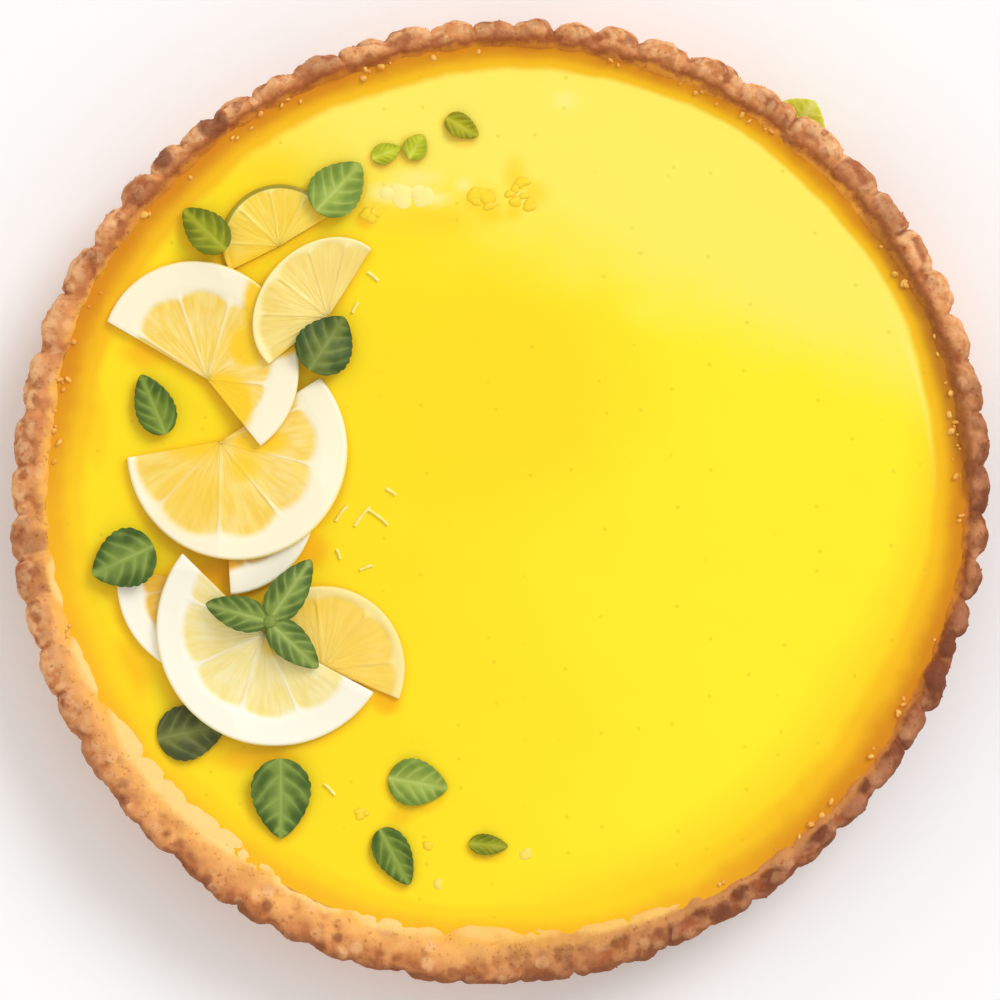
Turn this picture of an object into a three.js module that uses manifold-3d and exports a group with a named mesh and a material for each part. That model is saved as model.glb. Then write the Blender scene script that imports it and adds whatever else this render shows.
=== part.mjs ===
// A round lemon tart: a fluted pastry case, the lemon filling in it, and on top
// eight overlapping lemon slices, loose mint leaves and a small mint sprig.
import * as THREE from 'three';
import Module from 'manifold-3d';
import { mergeVertices } from 'three/addons/utils/BufferGeometryUtils.js';

const wasm = await Module();
wasm.setup();

// Driving dimensions in millimetres. The tart stands on z = 0 with its middle over the origin.
const rimRadius = 122.4; // out to the flutes
const rimHeight = 28;
const rimDip = 0.9; // how far the rim sinks between two flutes
const rimSwell = 0.55; // how high a flute stands on the rim, as a share of its depth
const cragSize = 0.4; // how far the crumbly rim stands out or sinks in
const fluteCount = 62;
const fluteDepth = 2.2;
const fluteUneven = 0.85; // deeper flutes at the back, shallower at the front
const deepestFlutes = 75; // degrees
const wallTaper = 5; // how much narrower the case is at its foot
const cavityRadius = 112.5; // inside of the case at the filling
const cavityShift = new THREE.Vector2(1.4, 1.4);
const cavityTaper = 6;
const floorThickness = 4;
const fillingLevel = 25;
const fillingClimb = 0.5; // the filling rises a little where it meets the case
const gap = 0.3; // clearance between neighbouring pieces
const sliceThickness = 1.9;
const fleshDrop = 0.3; // the flesh lies a little lower than the pith
const pithShare = 0.22; // pith as a share of a slice's radius
const pithSlant = 0.04; // the step from pith down to flesh, as a share of the radius
const sliceSteps = 24;
const restSlope = 0.21; // how steeply a slice bends down off what is under it
const restMargin = 2.2; // how far it runs level past that edge first
const restBlend = 2; // size of the soft bend between the two
const restClearance = 0.45; // room left over a lower slice
const restReach = 30; // past this distance a slice carries nothing
const leafThickness = 0.6;

const material = (color, roughness) => new THREE.MeshStandardMaterial({ color, roughness, metalness: 0 });
const looks = {
  pastry: material(0xd98e52, 0.85),
  filling: material(0xfbdc2c, 0.3),
  lemon: material(0xf8e49a, 0.35),
  mint: material(0x5f9440, 0.55),
};

const tart = new THREE.Group();

function addPiece(name, geometry, look) {
  geometry.computeVertexNormals();
  const mesh = new THREE.Mesh(geometry, look);
  mesh.name = name;
  tart.add(mesh);
}

// Joins vertices that share a place and drops the triangles that have shrunk to nothing.
function welded(geometry) {
  geometry.deleteAttribute('normal');
  geometry.deleteAttribute('uv');
  const merged = mergeVertices(geometry, 1e-3);
  const corners = merged.index.array;
  const kept = [];
  for (let i = 0; i < corners.length; i += 3) {
    const [a, b, c] = corners.slice(i, i + 3);
    if (a !== b && b !== c && c !== a) kept.push(a, b, c);
  }
  merged.setIndex(kept);
  return merged;
}

function toSolid(geometry) {
  const closed = welded(geometry);
  return new wasm.Manifold(new wasm.Mesh({
    numProp: 3,
    vertProperties: new Float32Array(closed.attributes.position.array),
    triVerts: new Uint32Array(closed.index.array),
  }));
}

function toGeometry(solid) {
  const mesh = solid.getMesh();
  const geometry = new THREE.BufferGeometry();
  geometry.setAttribute('position', new THREE.BufferAttribute(new Float32Array(mesh.vertProperties), 3));
  geometry.setIndex(Array.from(mesh.triVerts));
  return geometry;
}

// Turns a profile of [radius, height] pairs into a round body, then lets shape() move each point.
function turnedBody(profile, segments, shape) {
  const points = profile.map(([radius, height]) => new THREE.Vector2(radius, height));
  const body = new THREE.LatheGeometry(points, segments);
  body.rotateX(Math.PI / 2);
  const place = body.attributes.position;
  for (let i = 0; i < place.count; i += 1) {
    const step = Math.floor(i / profile.length) % segments;
    const angle = (step / segments) * 2 * Math.PI;
    const moved = shape(angle, i % profile.length);
    place.setXYZ(i, moved.x, moved.y, moved.z);
  }
  return welded(body);
}

const radians = THREE.MathUtils.degToRad;

// The case is an uneven oval. Each row is a number of waves around it, their size in millimetres
// (for the flutes, in flutes that they drift) and the direction of one crest in degrees.
const rimWaves = [[1, 0.45, 48], [2, 1.5, 29], [3, 0.75, 30]];
const cavityWaves = [[2, 1.5, 352], [5, 0.35, 6], [11, 0.25, 24]];
const fluteWaves = [[3, 0.35, 17], [7, 0.2, 354]];

function waved(angle, waves) {
  const wave = ([count, size, crest]) => size * Math.cos(count * (angle - radians(crest)));
  return waves.reduce((sum, row) => sum + wave(row), 0);
}

// An uneven share from 0 to 1, the same every time for the same number
const goldenShare = 0.618034;
const shareOf = (number) => (number * number * goldenShare) % 1;

const mildest = 0.8; // a flute's hollow and its swell on the rim, as shares of their named sizes
const boldest = 1.15;
const lowest = 0.4;
const highest = 1.2;

// Where an angle falls on its flute: bulge is 0 in the crease and 1 on top
function fluteAt(angle) {
  const turns = (fluteCount * angle) / (2 * Math.PI) + waved(angle, fluteWaves);
  const wrapped = ((turns % fluteCount) + fluteCount) % fluteCount;
  const number = Math.floor(wrapped);
  const across = 2 * (wrapped - number) - 1;
  return { bulge: Math.sqrt(1 - across * across), number };
}

const rimRadiusAt = (angle) => rimRadius + waved(angle, rimWaves);
const cavityRadiusAt = (angle) => cavityRadius + waved(angle, cavityWaves);
const fluteDepthAt = (angle) => fluteDepth + fluteUneven * Math.cos(angle - radians(deepestFlutes));
const taperAt = (height) => Math.max(0, 1 - height / fillingLevel);

// Each row: share of the way from the cavity wall (0) to the outside (1), height, share of the flute
const casePoints = [
  { axis: true, height: 0 },
  { across: 1, height: 0, flute: 0.7 },
  { across: 1, height: 11, flute: 0.9 },
  { across: 1, height: 21.5, flute: 1 },
  { across: 0.99, height: 25, flute: 1, lift: 0.6 },
  { across: 0.84, height: 27.4, flute: 0.8, lift: 1 },
  { across: 0.55, height: rimHeight, flute: 0.35, lift: 1 },
  { across: 0.24, height: 27.4, flute: 0.1, lift: 0.7 },
  { across: 0.02, height: fillingLevel + 0.8, flute: 0, lift: 0.3 },
  { across: 0, height: fillingLevel - 1.2, flute: 0 },
  { across: 0, height: floorThickness, flute: 0 },
  { axis: true, height: floorThickness },
];

const stepsPerFlute = 4;
const caseSteps = fluteCount * stepsPerFlute;

// How far the crumbly rim stands out of its smooth shape at one point, from -1 to 1
function cragAt(angle, row) {
  const step = Math.round((angle / (2 * Math.PI)) * caseSteps);
  return 2 * shareOf(step * casePoints.length + row) - 1;
}

function caseShape(angle, row) {
  const { axis, across, height, flute, lift = 0 } = casePoints[row];
  if (axis) return new THREE.Vector3(cavityShift.x, cavityShift.y, height);
  const { bulge, number } = fluteAt(angle);
  const ray = new THREE.Vector2(Math.cos(angle), Math.sin(angle));
  const depth = fluteDepthAt(angle);
  const boldness = THREE.MathUtils.lerp(mildest, boldest, shareOf(number));
  const crease = flute * depth * (1 - bulge * boldness);
  const outer = ray.clone().multiplyScalar(rimRadiusAt(angle) - wallTaper * taperAt(height) - crease);
  const inner = ray.clone().multiplyScalar(cavityRadiusAt(angle) - cavityTaper * taperAt(height));
  const spot = inner.add(cavityShift).lerp(outer, across);
  const swelling = THREE.MathUtils.lerp(lowest, highest, shareOf(number + fluteCount));
  const swell = rimSwell * depth * bulge * swelling;
  spot.addScaledVector(ray, lift * cragSize * cragAt(angle, row));
  const rise = swell - rimDip + cragSize * cragAt(-angle, row);
  return new THREE.Vector3(spot.x, spot.y, height + lift * rise);
}

const caseProfile = casePoints.map(({ axis, height }) => [axis ? 0 : rimRadius, height]);
addPiece('pastry_case', turnedBody(caseProfile, caseSteps, caseShape), looks.pastry);

// Slices from the lowest to the highest. A round slice has squash 1. Angles are in degrees, counted
// from turn, and the two cut edges meet at the core, which is given from the slice's middle.
const slices = [
  { name: 'lemon_slice_1', middle: [-55, 64.2], radius: 14.5, from: 28, to: 210, core: [0, -1], thick: 1.3 },
  { name: 'lemon_slice_2', middle: [-72, -21.2], radius: 23.5, from: 172, to: 305, core: [0, 0] },
  { name: 'lemon_slice_3', middle: [-68.5, -1.8], radius: 22.5, from: 274, to: 372, core: [0, 0] },
  { name: 'lemon_slice_4', middle: [-44, -42.5], radius: 20.5, from: -22, to: 160, core: [0, 0], thick: 1.3 },
  { name: 'lemon_slice_5', middle: [-65.5, 12], radius: 27.6, from: 184, to: 401, core: [-4.2, 2.2] },
  {
    name: 'lemon_slice_6', middle: [-74.8, 34], radius: 26, from: 0, to: 212, core: [4.5, -1.1],
    turn: -54, squash: 0.93,
  },
  {
    name: 'lemon_slice_7', middle: [-44.6, 47.8], radius: 19.4, from: 1, to: 179, core: [-0.6, -3],
    turn: 48.7, squash: 0.77, thick: 1.5,
  },
  { name: 'lemon_slice_8', middle: [-56, -32.5], radius: 29.5, from: 141, to: 327, core: [-2.5, -1.5] },
];

// Mint leaves: middle of the leaf, heading of its tip in degrees, length and width
const leaves = [
  { name: 'mint_leaf_1', middle: [-40.2, 77.8], heading: 48, length: 16.4, width: 13.4 },
  { name: 'mint_leaf_2', middle: [-73.6, 67.2], heading: 136, length: 15, width: 10.4 },
  { name: 'mint_leaf_3', middle: [-43, 38.5], heading: 57, length: 16, width: 14.6 },
  { name: 'mint_leaf_4', middle: [-86.4, 23.4], heading: 113, length: 16.2, width: 10.2 },
  { name: 'mint_leaf_5', middle: [-93.8, -15.6], heading: 205, length: 17, width: 15.2 },
  { name: 'mint_leaf_6', middle: [-76.8, -58.4], heading: 12, length: 17.4, width: 14 },
  { name: 'mint_leaf_7', middle: [-54.4, -75], heading: 270, length: 20, width: 15.2 },
  { name: 'mint_leaf_8', middle: [-20.2, -71.2], heading: -10, length: 15, width: 12 },
  { name: 'mint_leaf_9', middle: [-26, -89.6], heading: -62, length: 15.8, width: 9.4 },
  { name: 'mint_leaf_10', middle: [-2.6, -86.6], heading: -5, length: 9.8, width: 5.4 },
  { name: 'mint_leaf_11', middle: [-9.2, 93.2], heading: -30, length: 9.4, width: 6.2 },
  { name: 'mint_leaf_12', middle: [-20.8, 88.2], heading: 60, length: 7, width: 6.4 },
  { name: 'mint_leaf_13', middle: [-28.2, 86.6], heading: 20, length: 7.6, width: 5.4 },
];

// This leaf is tucked under the last slice, and lifts it by its own curl and thickness
const tuckedLeaf = leaves.find((leaf) => leaf.name === 'mint_leaf_6');
const tuckedLift = 2.6;

function softMax(a, b) {
  const closeness = Math.max(restBlend - Math.abs(a - b), 0) / restBlend;
  return Math.max(a, b) + (closeness * closeness * restBlend) / 4;
}

// Point of a slice's rim, seen from above
function rimOf(slice, angle) {
  const { middle, radius, turn = 0, squash = 1 } = slice;
  const point = new THREE.Vector2(Math.cos(angle) * radius, Math.sin(angle) * radius * squash);
  return point.rotateAround(new THREE.Vector2(), radians(turn)).add(new THREE.Vector2(...middle));
}

function coreOf(slice) {
  const { middle, core, turn = 0 } = slice;
  return new THREE.Vector2(...core).rotateAround(new THREE.Vector2(), radians(turn))
    .add(new THREE.Vector2(...middle));
}

function outlineOf(slice) {
  const outline = [coreOf(slice)];
  for (let i = 0; i <= sliceSteps; i += 1) {
    outline.push(rimOf(slice, radians(THREE.MathUtils.lerp(slice.from, slice.to, i / sliceSteps))));
  }
  return outline;
}

function outlineOfLeaf(leaf) {
  const outline = [];
  for (let i = 0; i < sliceSteps; i += 1) {
    const angle = (i / sliceSteps) * 2 * Math.PI;
    const point = new THREE.Vector2(Math.cos(angle) * leaf.length / 2, Math.sin(angle) * leaf.width / 2);
    outline.push(point.rotateAround(new THREE.Vector2(), radians(leaf.heading))
      .add(new THREE.Vector2(...leaf.middle)));
  }
  return outline;
}

// Distance from a point to an outline: 0 inside it
function distanceOutside(outline, x, y) {
  let inside = false;
  let nearest = Infinity;
  for (let i = 0; i < outline.length; i += 1) {
    const a = outline[i];
    const b = outline[(i + 1) % outline.length];
    if ((a.y > y) !== (b.y > y) && x < a.x + ((y - a.y) / (b.y - a.y)) * (b.x - a.x)) inside = !inside;
    const along = ((x - a.x) * (b.x - a.x) + (y - a.y) * (b.y - a.y)) / a.distanceToSquared(b);
    const part = Math.min(1, Math.max(0, along));
    nearest = Math.min(nearest, Math.hypot(a.x + part * (b.x - a.x) - x, a.y + part * (b.y - a.y) - y));
  }
  return inside ? 0 : nearest;
}

// What lies under a piece: the filling, and every slice laid down before it
const laid = [];

function restingHeight(x, y, below = laid.length) {
  let height = fillingLevel + gap;
  for (let i = 0; i < below; i += 1) {
    const beyond = Math.max(0, distanceOutside(laid[i].outline, x, y) - restMargin);
    if (beyond < restReach) {
      const top = restingHeight(x, y, laid[i].below) + laid[i].thick + restClearance;
      height = softMax(height, top - restSlope * beyond);
    }
  }
  return height;
}

// A thin solid over a flat plan. place() puts each plan point at its spots on the two faces.
function thinSolid(plan, place) {
  const flat = plan.attributes.position;
  const spots = [];
  for (let i = 0; i < flat.count; i += 1) spots.push(place(flat.getX(i), flat.getY(i)));
  const nameOf = ({ under }) => under.toArray().map((value) => value.toFixed(3)).join(' ');
  const names = spots.map(nameOf);
  const edges = new Map();
  const corners = plan.index.array;
  const faces = [];
  for (let i = 0; i < corners.length; i += 3) {
    const [a, b, c] = [...corners.slice(i, i + 3)].map((corner) => spots[corner]);
    const [first, second, third] = [...corners.slice(i, i + 3)].map((corner) => names[corner]);
    if (first !== second && second !== third && third !== first) {
      faces.push(a.over, b.over, c.over, a.under, c.under, b.under);
      edges.set(`${first} ${second}`, { from: a, to: b, back: `${second} ${first}` });
      edges.set(`${second} ${third}`, { from: b, to: c, back: `${third} ${second}` });
      edges.set(`${third} ${first}`, { from: c, to: a, back: `${first} ${third}` });
    }
  }
  for (const { from, to, back } of edges.values()) {
    if (!edges.has(back)) faces.push(from.under, to.under, to.over, from.under, to.over, from.over);
  }
  return welded(new THREE.BufferGeometry().setFromPoints(faces));
}

function standingOn(spot, underside, thickness) {
  return {
    under: new THREE.Vector3(spot.x, spot.y, underside),
    over: new THREE.Vector3(spot.x, spot.y, underside + thickness),
  };
}

// A slice is a ring plan drawn in to its core, with the pith standing a little proud of the flesh
const sliceRows = [0, 0.26, 0.52, 1 - pithShare - pithSlant, 1 - pithShare, 1];
const ringRows = sliceRows.length - 1;

function sliceSolid(slice) {
  const { from, to, thick = sliceThickness } = slice;
  const plan = new THREE.RingGeometry(0, ringRows, sliceSteps, ringRows, radians(from), radians(to - from));
  const core = coreOf(slice);
  const below = laid.length;
  return thinSolid(plan, (x, y) => {
    const row = Math.round(Math.hypot(x, y));
    const spot = core.clone().lerp(rimOf(slice, Math.atan2(y, x)), sliceRows[row]);
    const underside = restingHeight(spot.x, spot.y, below);
    const drop = sliceRows[row] < 1 - pithShare ? fleshDrop : 0;
    return standingOn(spot, underside, thick - drop);
  });
}

// A leaf is a square plan pulled to an oval with a point. breadth is 1 where it is widest.
const leafPlan = new THREE.PlaneGeometry(1, 2, 7, 4);
const leafBase = 0.74; // under 1, the widest place lies towards the stalk
const leafFullness = 0.66; // under 1, the leaf is rounder than a plain curve
const leafBreadth = (along) => Math.sin(Math.PI * along ** leafBase) ** leafFullness;
const leafFold = 0.9; // how high the two edges stand over the middle vein
const leafWave = 0.25;
const leafWavelength = 0.7; // as a share of the length
const leafWaveStart = 2.4; // each leaf's wave starts this much later, in radians, than the one before
const leafCurl = 0.22; // how much the last part of the leaf turns up
const leafCurlFrom = 0.6; // where that part starts, as a share of the length

function leafSolid(leaf, restOf) {
  const heading = radians(leaf.heading);
  return thinSolid(leafPlan, (x, y) => {
    const along = x + 0.5;
    const side = y * leafBreadth(along);
    const spot = new THREE.Vector2(x * leaf.length, (side * leaf.width) / 2);
    spot.rotateAround(new THREE.Vector2(), heading).add(new THREE.Vector2(...leaf.middle));
    return standingOn(spot, restOf(spot, along, side), leafThickness);
  });
}

function layLeaf(leaf) {
  const start = leafWaveStart * leaves.indexOf(leaf);
  return leafSolid(leaf, (spot, along, side) => {
    const fold = leafFold * side * side;
    const wave = leafWave * (1 + Math.sin((2 * Math.PI * along) / leafWavelength + start + side));
    const curl = leafCurl * Math.max(0, along - leafCurlFrom) ** 2 * leaf.length;
    return restingHeight(spot.x, spot.y) + fold + wave + curl;
  });
}

function layDown(outline, thick, below) {
  laid.push({ outline, thick, below });
}

const tuckedSolid = layLeaf(tuckedLeaf);
slices.forEach((slice, number) => {
  if (number === slices.length - 1) layDown(outlineOfLeaf(tuckedLeaf), tuckedLift, 0);
  addPiece(slice.name, sliceSolid(slice), looks.lemon);
  layDown(outlineOf(slice), slice.thick ?? sliceThickness, laid.length);
});

for (const leaf of leaves) {
  addPiece(leaf.name, leaf === tuckedLeaf ? tuckedSolid : layLeaf(leaf), looks.mint);
}

// The sprig: three leaves that spring from one bud, over the core of the last slice
const bud = { middle: [-57.2, -31], radius: 1.9, height: 1.7 };
const sprigLift = 0.9; // how high its leaves clear the slice
const sprigArch = 1.6; // how much higher they rise on the way to their tips
const sprigRise = 0.15; // how far along that arch a leaf starts at the bud
const sprigLeaves = [
  { tip: [-73, -26.5], width: 8.8 },
  { tip: [-46.8, -15.5], width: 9.6 },
  { tip: [-45, -42.5], width: 9 },
];

function sprigLeafSolid({ tip, width }) {
  const from = new THREE.Vector2(...bud.middle);
  const to = new THREE.Vector2(...tip);
  const middle = from.clone().add(to).multiplyScalar(0.5);
  const heading = THREE.MathUtils.radToDeg(to.clone().sub(from).angle());
  const leaf = { middle: [middle.x, middle.y], heading, length: from.distanceTo(to), width };
  return leafSolid(leaf, (spot, along, side) => {
    const arch = sprigLift + sprigArch * Math.sin(Math.PI * THREE.MathUtils.lerp(sprigRise, 1, along));
    return restingHeight(spot.x, spot.y) + arch + leafFold * side * side;
  });
}

const budBall = new THREE.SphereGeometry(bud.radius, 10, 6);
budBall.scale(1, 1, bud.height / bud.radius);
budBall.translate(...bud.middle, restingHeight(...bud.middle) + bud.height);
let sprig = toSolid(budBall);
for (const sprigLeaf of sprigLeaves) sprig = sprig.add(toSolid(sprigLeafSolid(sprigLeaf)));
addPiece('mint_sprig', welded(toGeometry(sprig)), looks.mint);

// One more leaf clings upright to the outside of the case, and its top edge shows past the rim
const wallLeaf = { angle: 51.5, length: 12, width: 13, foot: 11.5, lean: 3.1 };

const wallLeafSolid = thinSolid(leafPlan, (x, y) => {
  const along = x + 0.5;
  const angle = radians(wallLeaf.angle) - (y * leafBreadth(along) * wallLeaf.width) / 2 / rimRadius;
  const height = wallLeaf.foot + along * wallLeaf.length;
  const wall = rimRadiusAt(angle) - wallTaper * taperAt(height);
  const reach = wall + gap + wallLeaf.lean * along * along;
  const onWall = (out) => new THREE.Vector3(Math.cos(angle) * out, Math.sin(angle) * out, height);
  return { under: onWall(reach), over: onWall(reach + leafThickness) };
});

addPiece('mint_leaf_14', wallLeafSolid, looks.mint);

// The filling, with shreds of zest, sugar crumbs and set drops fused to its top
const fillingPoints = [
  { axis: true, height: floorThickness + gap },
  { inset: 0, height: floorThickness + gap },
  { inset: 0, height: fillingLevel - 1.2 },
  { inset: 0.1, height: fillingLevel + fillingClimb },
  { inset: 2.2, height: fillingLevel + 0.15 },
  { inset: 6, height: fillingLevel },
  { axis: true, height: fillingLevel },
];

function fillingShape(angle, row) {
  const { axis, inset, height } = fillingPoints[row];
  if (axis) return new THREE.Vector3(cavityShift.x, cavityShift.y, height);
  const radius = cavityRadiusAt(angle) - cavityTaper * taperAt(height) - gap - inset;
  return new THREE.Vector3(
    cavityShift.x + Math.cos(angle) * radius,
    cavityShift.y + Math.sin(angle) * radius,
    height,
  );
}

const fillingProfile = fillingPoints.map(({ axis, height }) => [axis ? 0 : cavityRadius, height]);
const fillingSteps = 124;
let filling = toSolid(turnedBody(fillingProfile, fillingSteps, fillingShape));

// Shreds of zest: middle, heading and length
const shreds = [
  { middle: [-34.2, -4.6], heading: 52, length: 6 },
  { middle: [-30.2, -4.8], heading: -38, length: 6.2 },
  { middle: [-39.4, -3.8], heading: 52, length: 4.8 },
  { middle: [-31.6, 55.6], heading: -40, length: 3.6 },
  { middle: [-36, 47.8], heading: 60, length: 3 },
  { middle: [-27, 1.6], heading: -35, length: 3 },
  { middle: [-40.2, -14], heading: -70, length: 2.6 },
  { middle: [-33.2, -17.4], heading: 20, length: 3.4 },
  { middle: [-42.4, -72.8], heading: -45, length: 4 },
];

const shredHalf = 0.45; // half of a shred's width and height
const shredRise = 0.3;

for (const { middle, heading, length } of shreds) {
  const bend = new THREE.QuadraticBezierCurve3(
    new THREE.Vector3(-length / 2, 0, shredRise),
    new THREE.Vector3(0, shredRise, 2 * shredRise),
    new THREE.Vector3(length / 2, 0, shredRise),
  );
  const section = new THREE.Shape([[-1, -1], [1, -1], [1, 1], [-1, 1]]
    .map(([x, y]) => new THREE.Vector2(x, y).multiplyScalar(shredHalf)));
  const shred = new THREE.ExtrudeGeometry(section, { steps: 4, extrudePath: bend, bevelEnabled: false });
  shred.rotateZ(radians(heading));
  shred.translate(...middle, fillingLevel);
  filling = filling.add(toSolid(shred));
}

// Set drops and smears: middle, then half sizes across, along and up
const drops = [
  { middle: [-27.8, 76.8], half: [4, 2, 0.6] },
  { middle: [-17, 75.6], half: [3.4, 1.5, 0.5] },
  { middle: [-30.3, 74.2], half: [1.6, 1.4, 0.9] },
  { middle: [-32.6, 71], half: [1.7, 1.5, 0.8] },
  { middle: [-4.2, 76.6], half: [2.4, 1.8, 0.9] },
  { middle: [0.6, 73.8], half: [2.2, 1.7, 0.9] },
  { middle: [5.2, 78.6], half: [2.4, 2, 1] },
  { middle: [7.4, 73.4], half: [1.9, 1.5, 0.8] },
  { middle: [-35.2, -78.6], half: [1.5, 1.4, 0.8] },
  { middle: [-17.2, -86.6], half: [1.9, 1.8, 0.9] },
  { middle: [-15.4, -96], half: [1.4, 1.4, 0.7] },
  { middle: [6.4, -88.6], half: [1.6, 1.8, 0.8] },
];

for (const { middle, half } of drops) {
  const drop = new THREE.SphereGeometry(1, 8, 5);
  drop.rotateX(Math.PI / 2);
  drop.scale(...half);
  drop.translate(...middle, fillingLevel);
  filling = filling.add(toSolid(drop));
}

addPiece('lemon_filling', welded(toGeometry(filling)), looks.filling);

export default tart;
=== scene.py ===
# %% [markdown]
# # A lemon tart, piece by piece
# A fluted pastry case holds set lemon filling. Lemon slices and mint lie on top.
# The solids come ready made from the CAD model, and this lesson gives each one its real surface.
# A finished piece is made where its solid is, in metres, so nothing has to be moved afterwards.

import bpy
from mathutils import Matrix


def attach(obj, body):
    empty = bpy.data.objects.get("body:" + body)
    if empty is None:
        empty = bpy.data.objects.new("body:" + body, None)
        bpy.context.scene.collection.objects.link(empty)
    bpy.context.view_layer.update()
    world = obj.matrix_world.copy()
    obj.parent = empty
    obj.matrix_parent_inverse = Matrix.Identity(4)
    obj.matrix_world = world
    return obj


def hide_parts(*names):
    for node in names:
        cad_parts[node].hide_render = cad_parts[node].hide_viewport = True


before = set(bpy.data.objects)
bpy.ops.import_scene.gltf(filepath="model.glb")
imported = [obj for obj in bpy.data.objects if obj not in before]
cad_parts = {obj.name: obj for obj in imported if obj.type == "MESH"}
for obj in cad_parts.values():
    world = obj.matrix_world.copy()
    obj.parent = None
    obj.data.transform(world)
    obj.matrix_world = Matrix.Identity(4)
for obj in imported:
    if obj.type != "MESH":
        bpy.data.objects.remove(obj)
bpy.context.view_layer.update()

# %% Bring in the tools
import math
from types import SimpleNamespace

import bmesh
import bpy
import numpy as np

mm = 0.001

# %% [markdown]
# ## Sums as nodes
# The case and every finish are made with node trees. Written out one node at a time they are long,
# so a value in a tree is wrapped in a Wire: a plus or times sign between two wires adds a Math
# node. The same wires work in Geometry Nodes and in materials, because both use the same Math node.

# %% Wires for node trees
def plug(tree, value, socket):
    """Feeds a socket with a wire, or with a plain number, vector or colour."""
    if isinstance(value, Wire):
        tree.links.new(value.socket, socket)
    else:
        socket.default_value = value


class Wire:
    """A value on its way through a node tree."""

    def __init__(self, tree, socket):
        self.tree = tree
        self.socket = socket

    def maths(self, operation, *others):
        """Adds a Math node with this value first."""
        node = self.tree.nodes.new("ShaderNodeMath")
        node.operation = operation
        for socket, value in zip(node.inputs, (self, *others)):
            plug(self.tree, value, socket)
        return Wire(self.tree, node.outputs[0])

    def __add__(self, other):
        return self.maths("ADD", other)

    def __sub__(self, other):
        return self.maths("SUBTRACT", other)

    def __rsub__(self, other):
        return self * -1 + other

    def __mul__(self, other):
        return self.maths("MULTIPLY", other)

    def __truediv__(self, other):
        return self.maths("DIVIDE", other)

    def __rtruediv__(self, other):
        return self ** -1 * other

    def __pow__(self, other):
        return self.maths("POWER", other)

    __radd__ = __add__
    __rmul__ = __mul__


# %% Helpers that work in both kinds of tree
def node_value(tree, kind, output=0, **inputs):
    """Adds a node, feeds the named inputs and returns one output as a wire."""
    node = tree.nodes.new(kind)
    for label, value in inputs.items():
        plug(tree, value, node.inputs[label.replace("_", " ")])
    return Wire(tree, node.outputs[output])


def kept(tree, name):
    """Reads a number that the mesh keeps at each of its points."""
    if tree.type == "GEOMETRY":
        return node_value(tree, "GeometryNodeInputNamedAttribute", "Attribute", Name=name)
    wire = node_value(tree, "ShaderNodeAttribute", "Fac")
    wire.socket.node.attribute_name = name
    return wire


def noise(tree, place, size, detail=2, seed=0):
    """Soft uneven spots of about this size, from 0 to 1 with most of it near 0.5."""
    wire = node_value(tree, "ShaderNodeTexNoise", 0, Vector=place, Scale=1 / size, Detail=detail)
    wire.socket.node.noise_dimensions = "4D"
    wire.socket.node.inputs["W"].default_value = seed
    return wire


def cells(tree, place, size, output="Distance", flat=False):
    """Cells of about this size. The distance is 0 in the middle of a cell."""
    wire = node_value(tree, "ShaderNodeTexVoronoi", output, Vector=place, Scale=1 / size)
    if flat:
        wire.socket.node.voronoi_dimensions = "2D"
    return wire


def vector_times(tree, first, second):
    """A vector times another vector, or times a number."""
    node = tree.nodes.new("ShaderNodeVectorMath")
    node.operation = "MULTIPLY"
    plug(tree, first, node.inputs[0])
    plug(tree, second, node.inputs[1])
    return Wire(tree, node.outputs[0])


def eased(value, low, high, start=0.0, end=1.0):
    """Goes smoothly from start to end while the value goes from low to high."""
    wire = node_value(value.tree, "ShaderNodeMapRange", 0, Value=value, From_Min=low,
                      From_Max=high, To_Min=start, To_Max=end)
    wire.socket.node.interpolation_type = "SMOOTHSTEP"
    return wire


# %% [markdown]
# ## One case rule for solids and surface
# The tart isn't a true circle: its rim and its cavity wander by a millimetre or two, and the
# flutes drift and differ. The same waves are used here as in the solids. waved() takes a wire or
# an array, so the rule is written down once.

# %% Measures of the tart
rim_radius = 122.4 * mm
rim_height = 28 * mm
rim_dip = 0.9 * mm
rim_swell = 0.55
flute_count = 62
flute_depth = 2.2 * mm
flute_uneven = 0.85 * mm
deepest_flutes = math.radians(75)
wall_taper = 5 * mm
cavity_radius = 112.5 * mm
cavity_shift = np.array([1.4, 1.4]) * mm
cavity_taper = 6 * mm
floor_thickness = 4 * mm
filling_level = 25 * mm
gap = 0.3 * mm

rim_waves = [(1, 0.45 * mm, 48), (2, 1.5 * mm, 29), (3, 0.75 * mm, 30)]
cavity_waves = [(2, 1.5 * mm, 352), (5, 0.35 * mm, 6), (11, 0.25 * mm, 24)]
flute_waves = [(3, 0.35, 17), (7, 0.2, 354)]


def cosine(angle):
    """Cosine of a wire or of an array."""
    if isinstance(angle, Wire):
        return angle.maths("COSINE")
    return np.cos(angle)


def waved(angle, waves):
    """Waves round the tart: how many, how large and, in degrees, where one of them crests."""
    total = 0
    for count, size, crest in waves:
        total = cosine(angle * count - count * math.radians(crest)) * size + total
    return total


def cavity_at(angle):
    return waved(angle, cavity_waves) + cavity_radius


def rim_at(angle):
    return waved(angle, rim_waves) + rim_radius


rim_round = rim_at(np.linspace(0, 2 * math.pi, 99))
print("rim from", rim_round.min(), "to", rim_round.max())

# %% [markdown]
# ## Geometry trees
# A tree gets its sizes through named inputs, so a reader can change them on the modifier. When it
# has run, its result is kept as a plain mesh and the modifier is taken off again.

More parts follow.
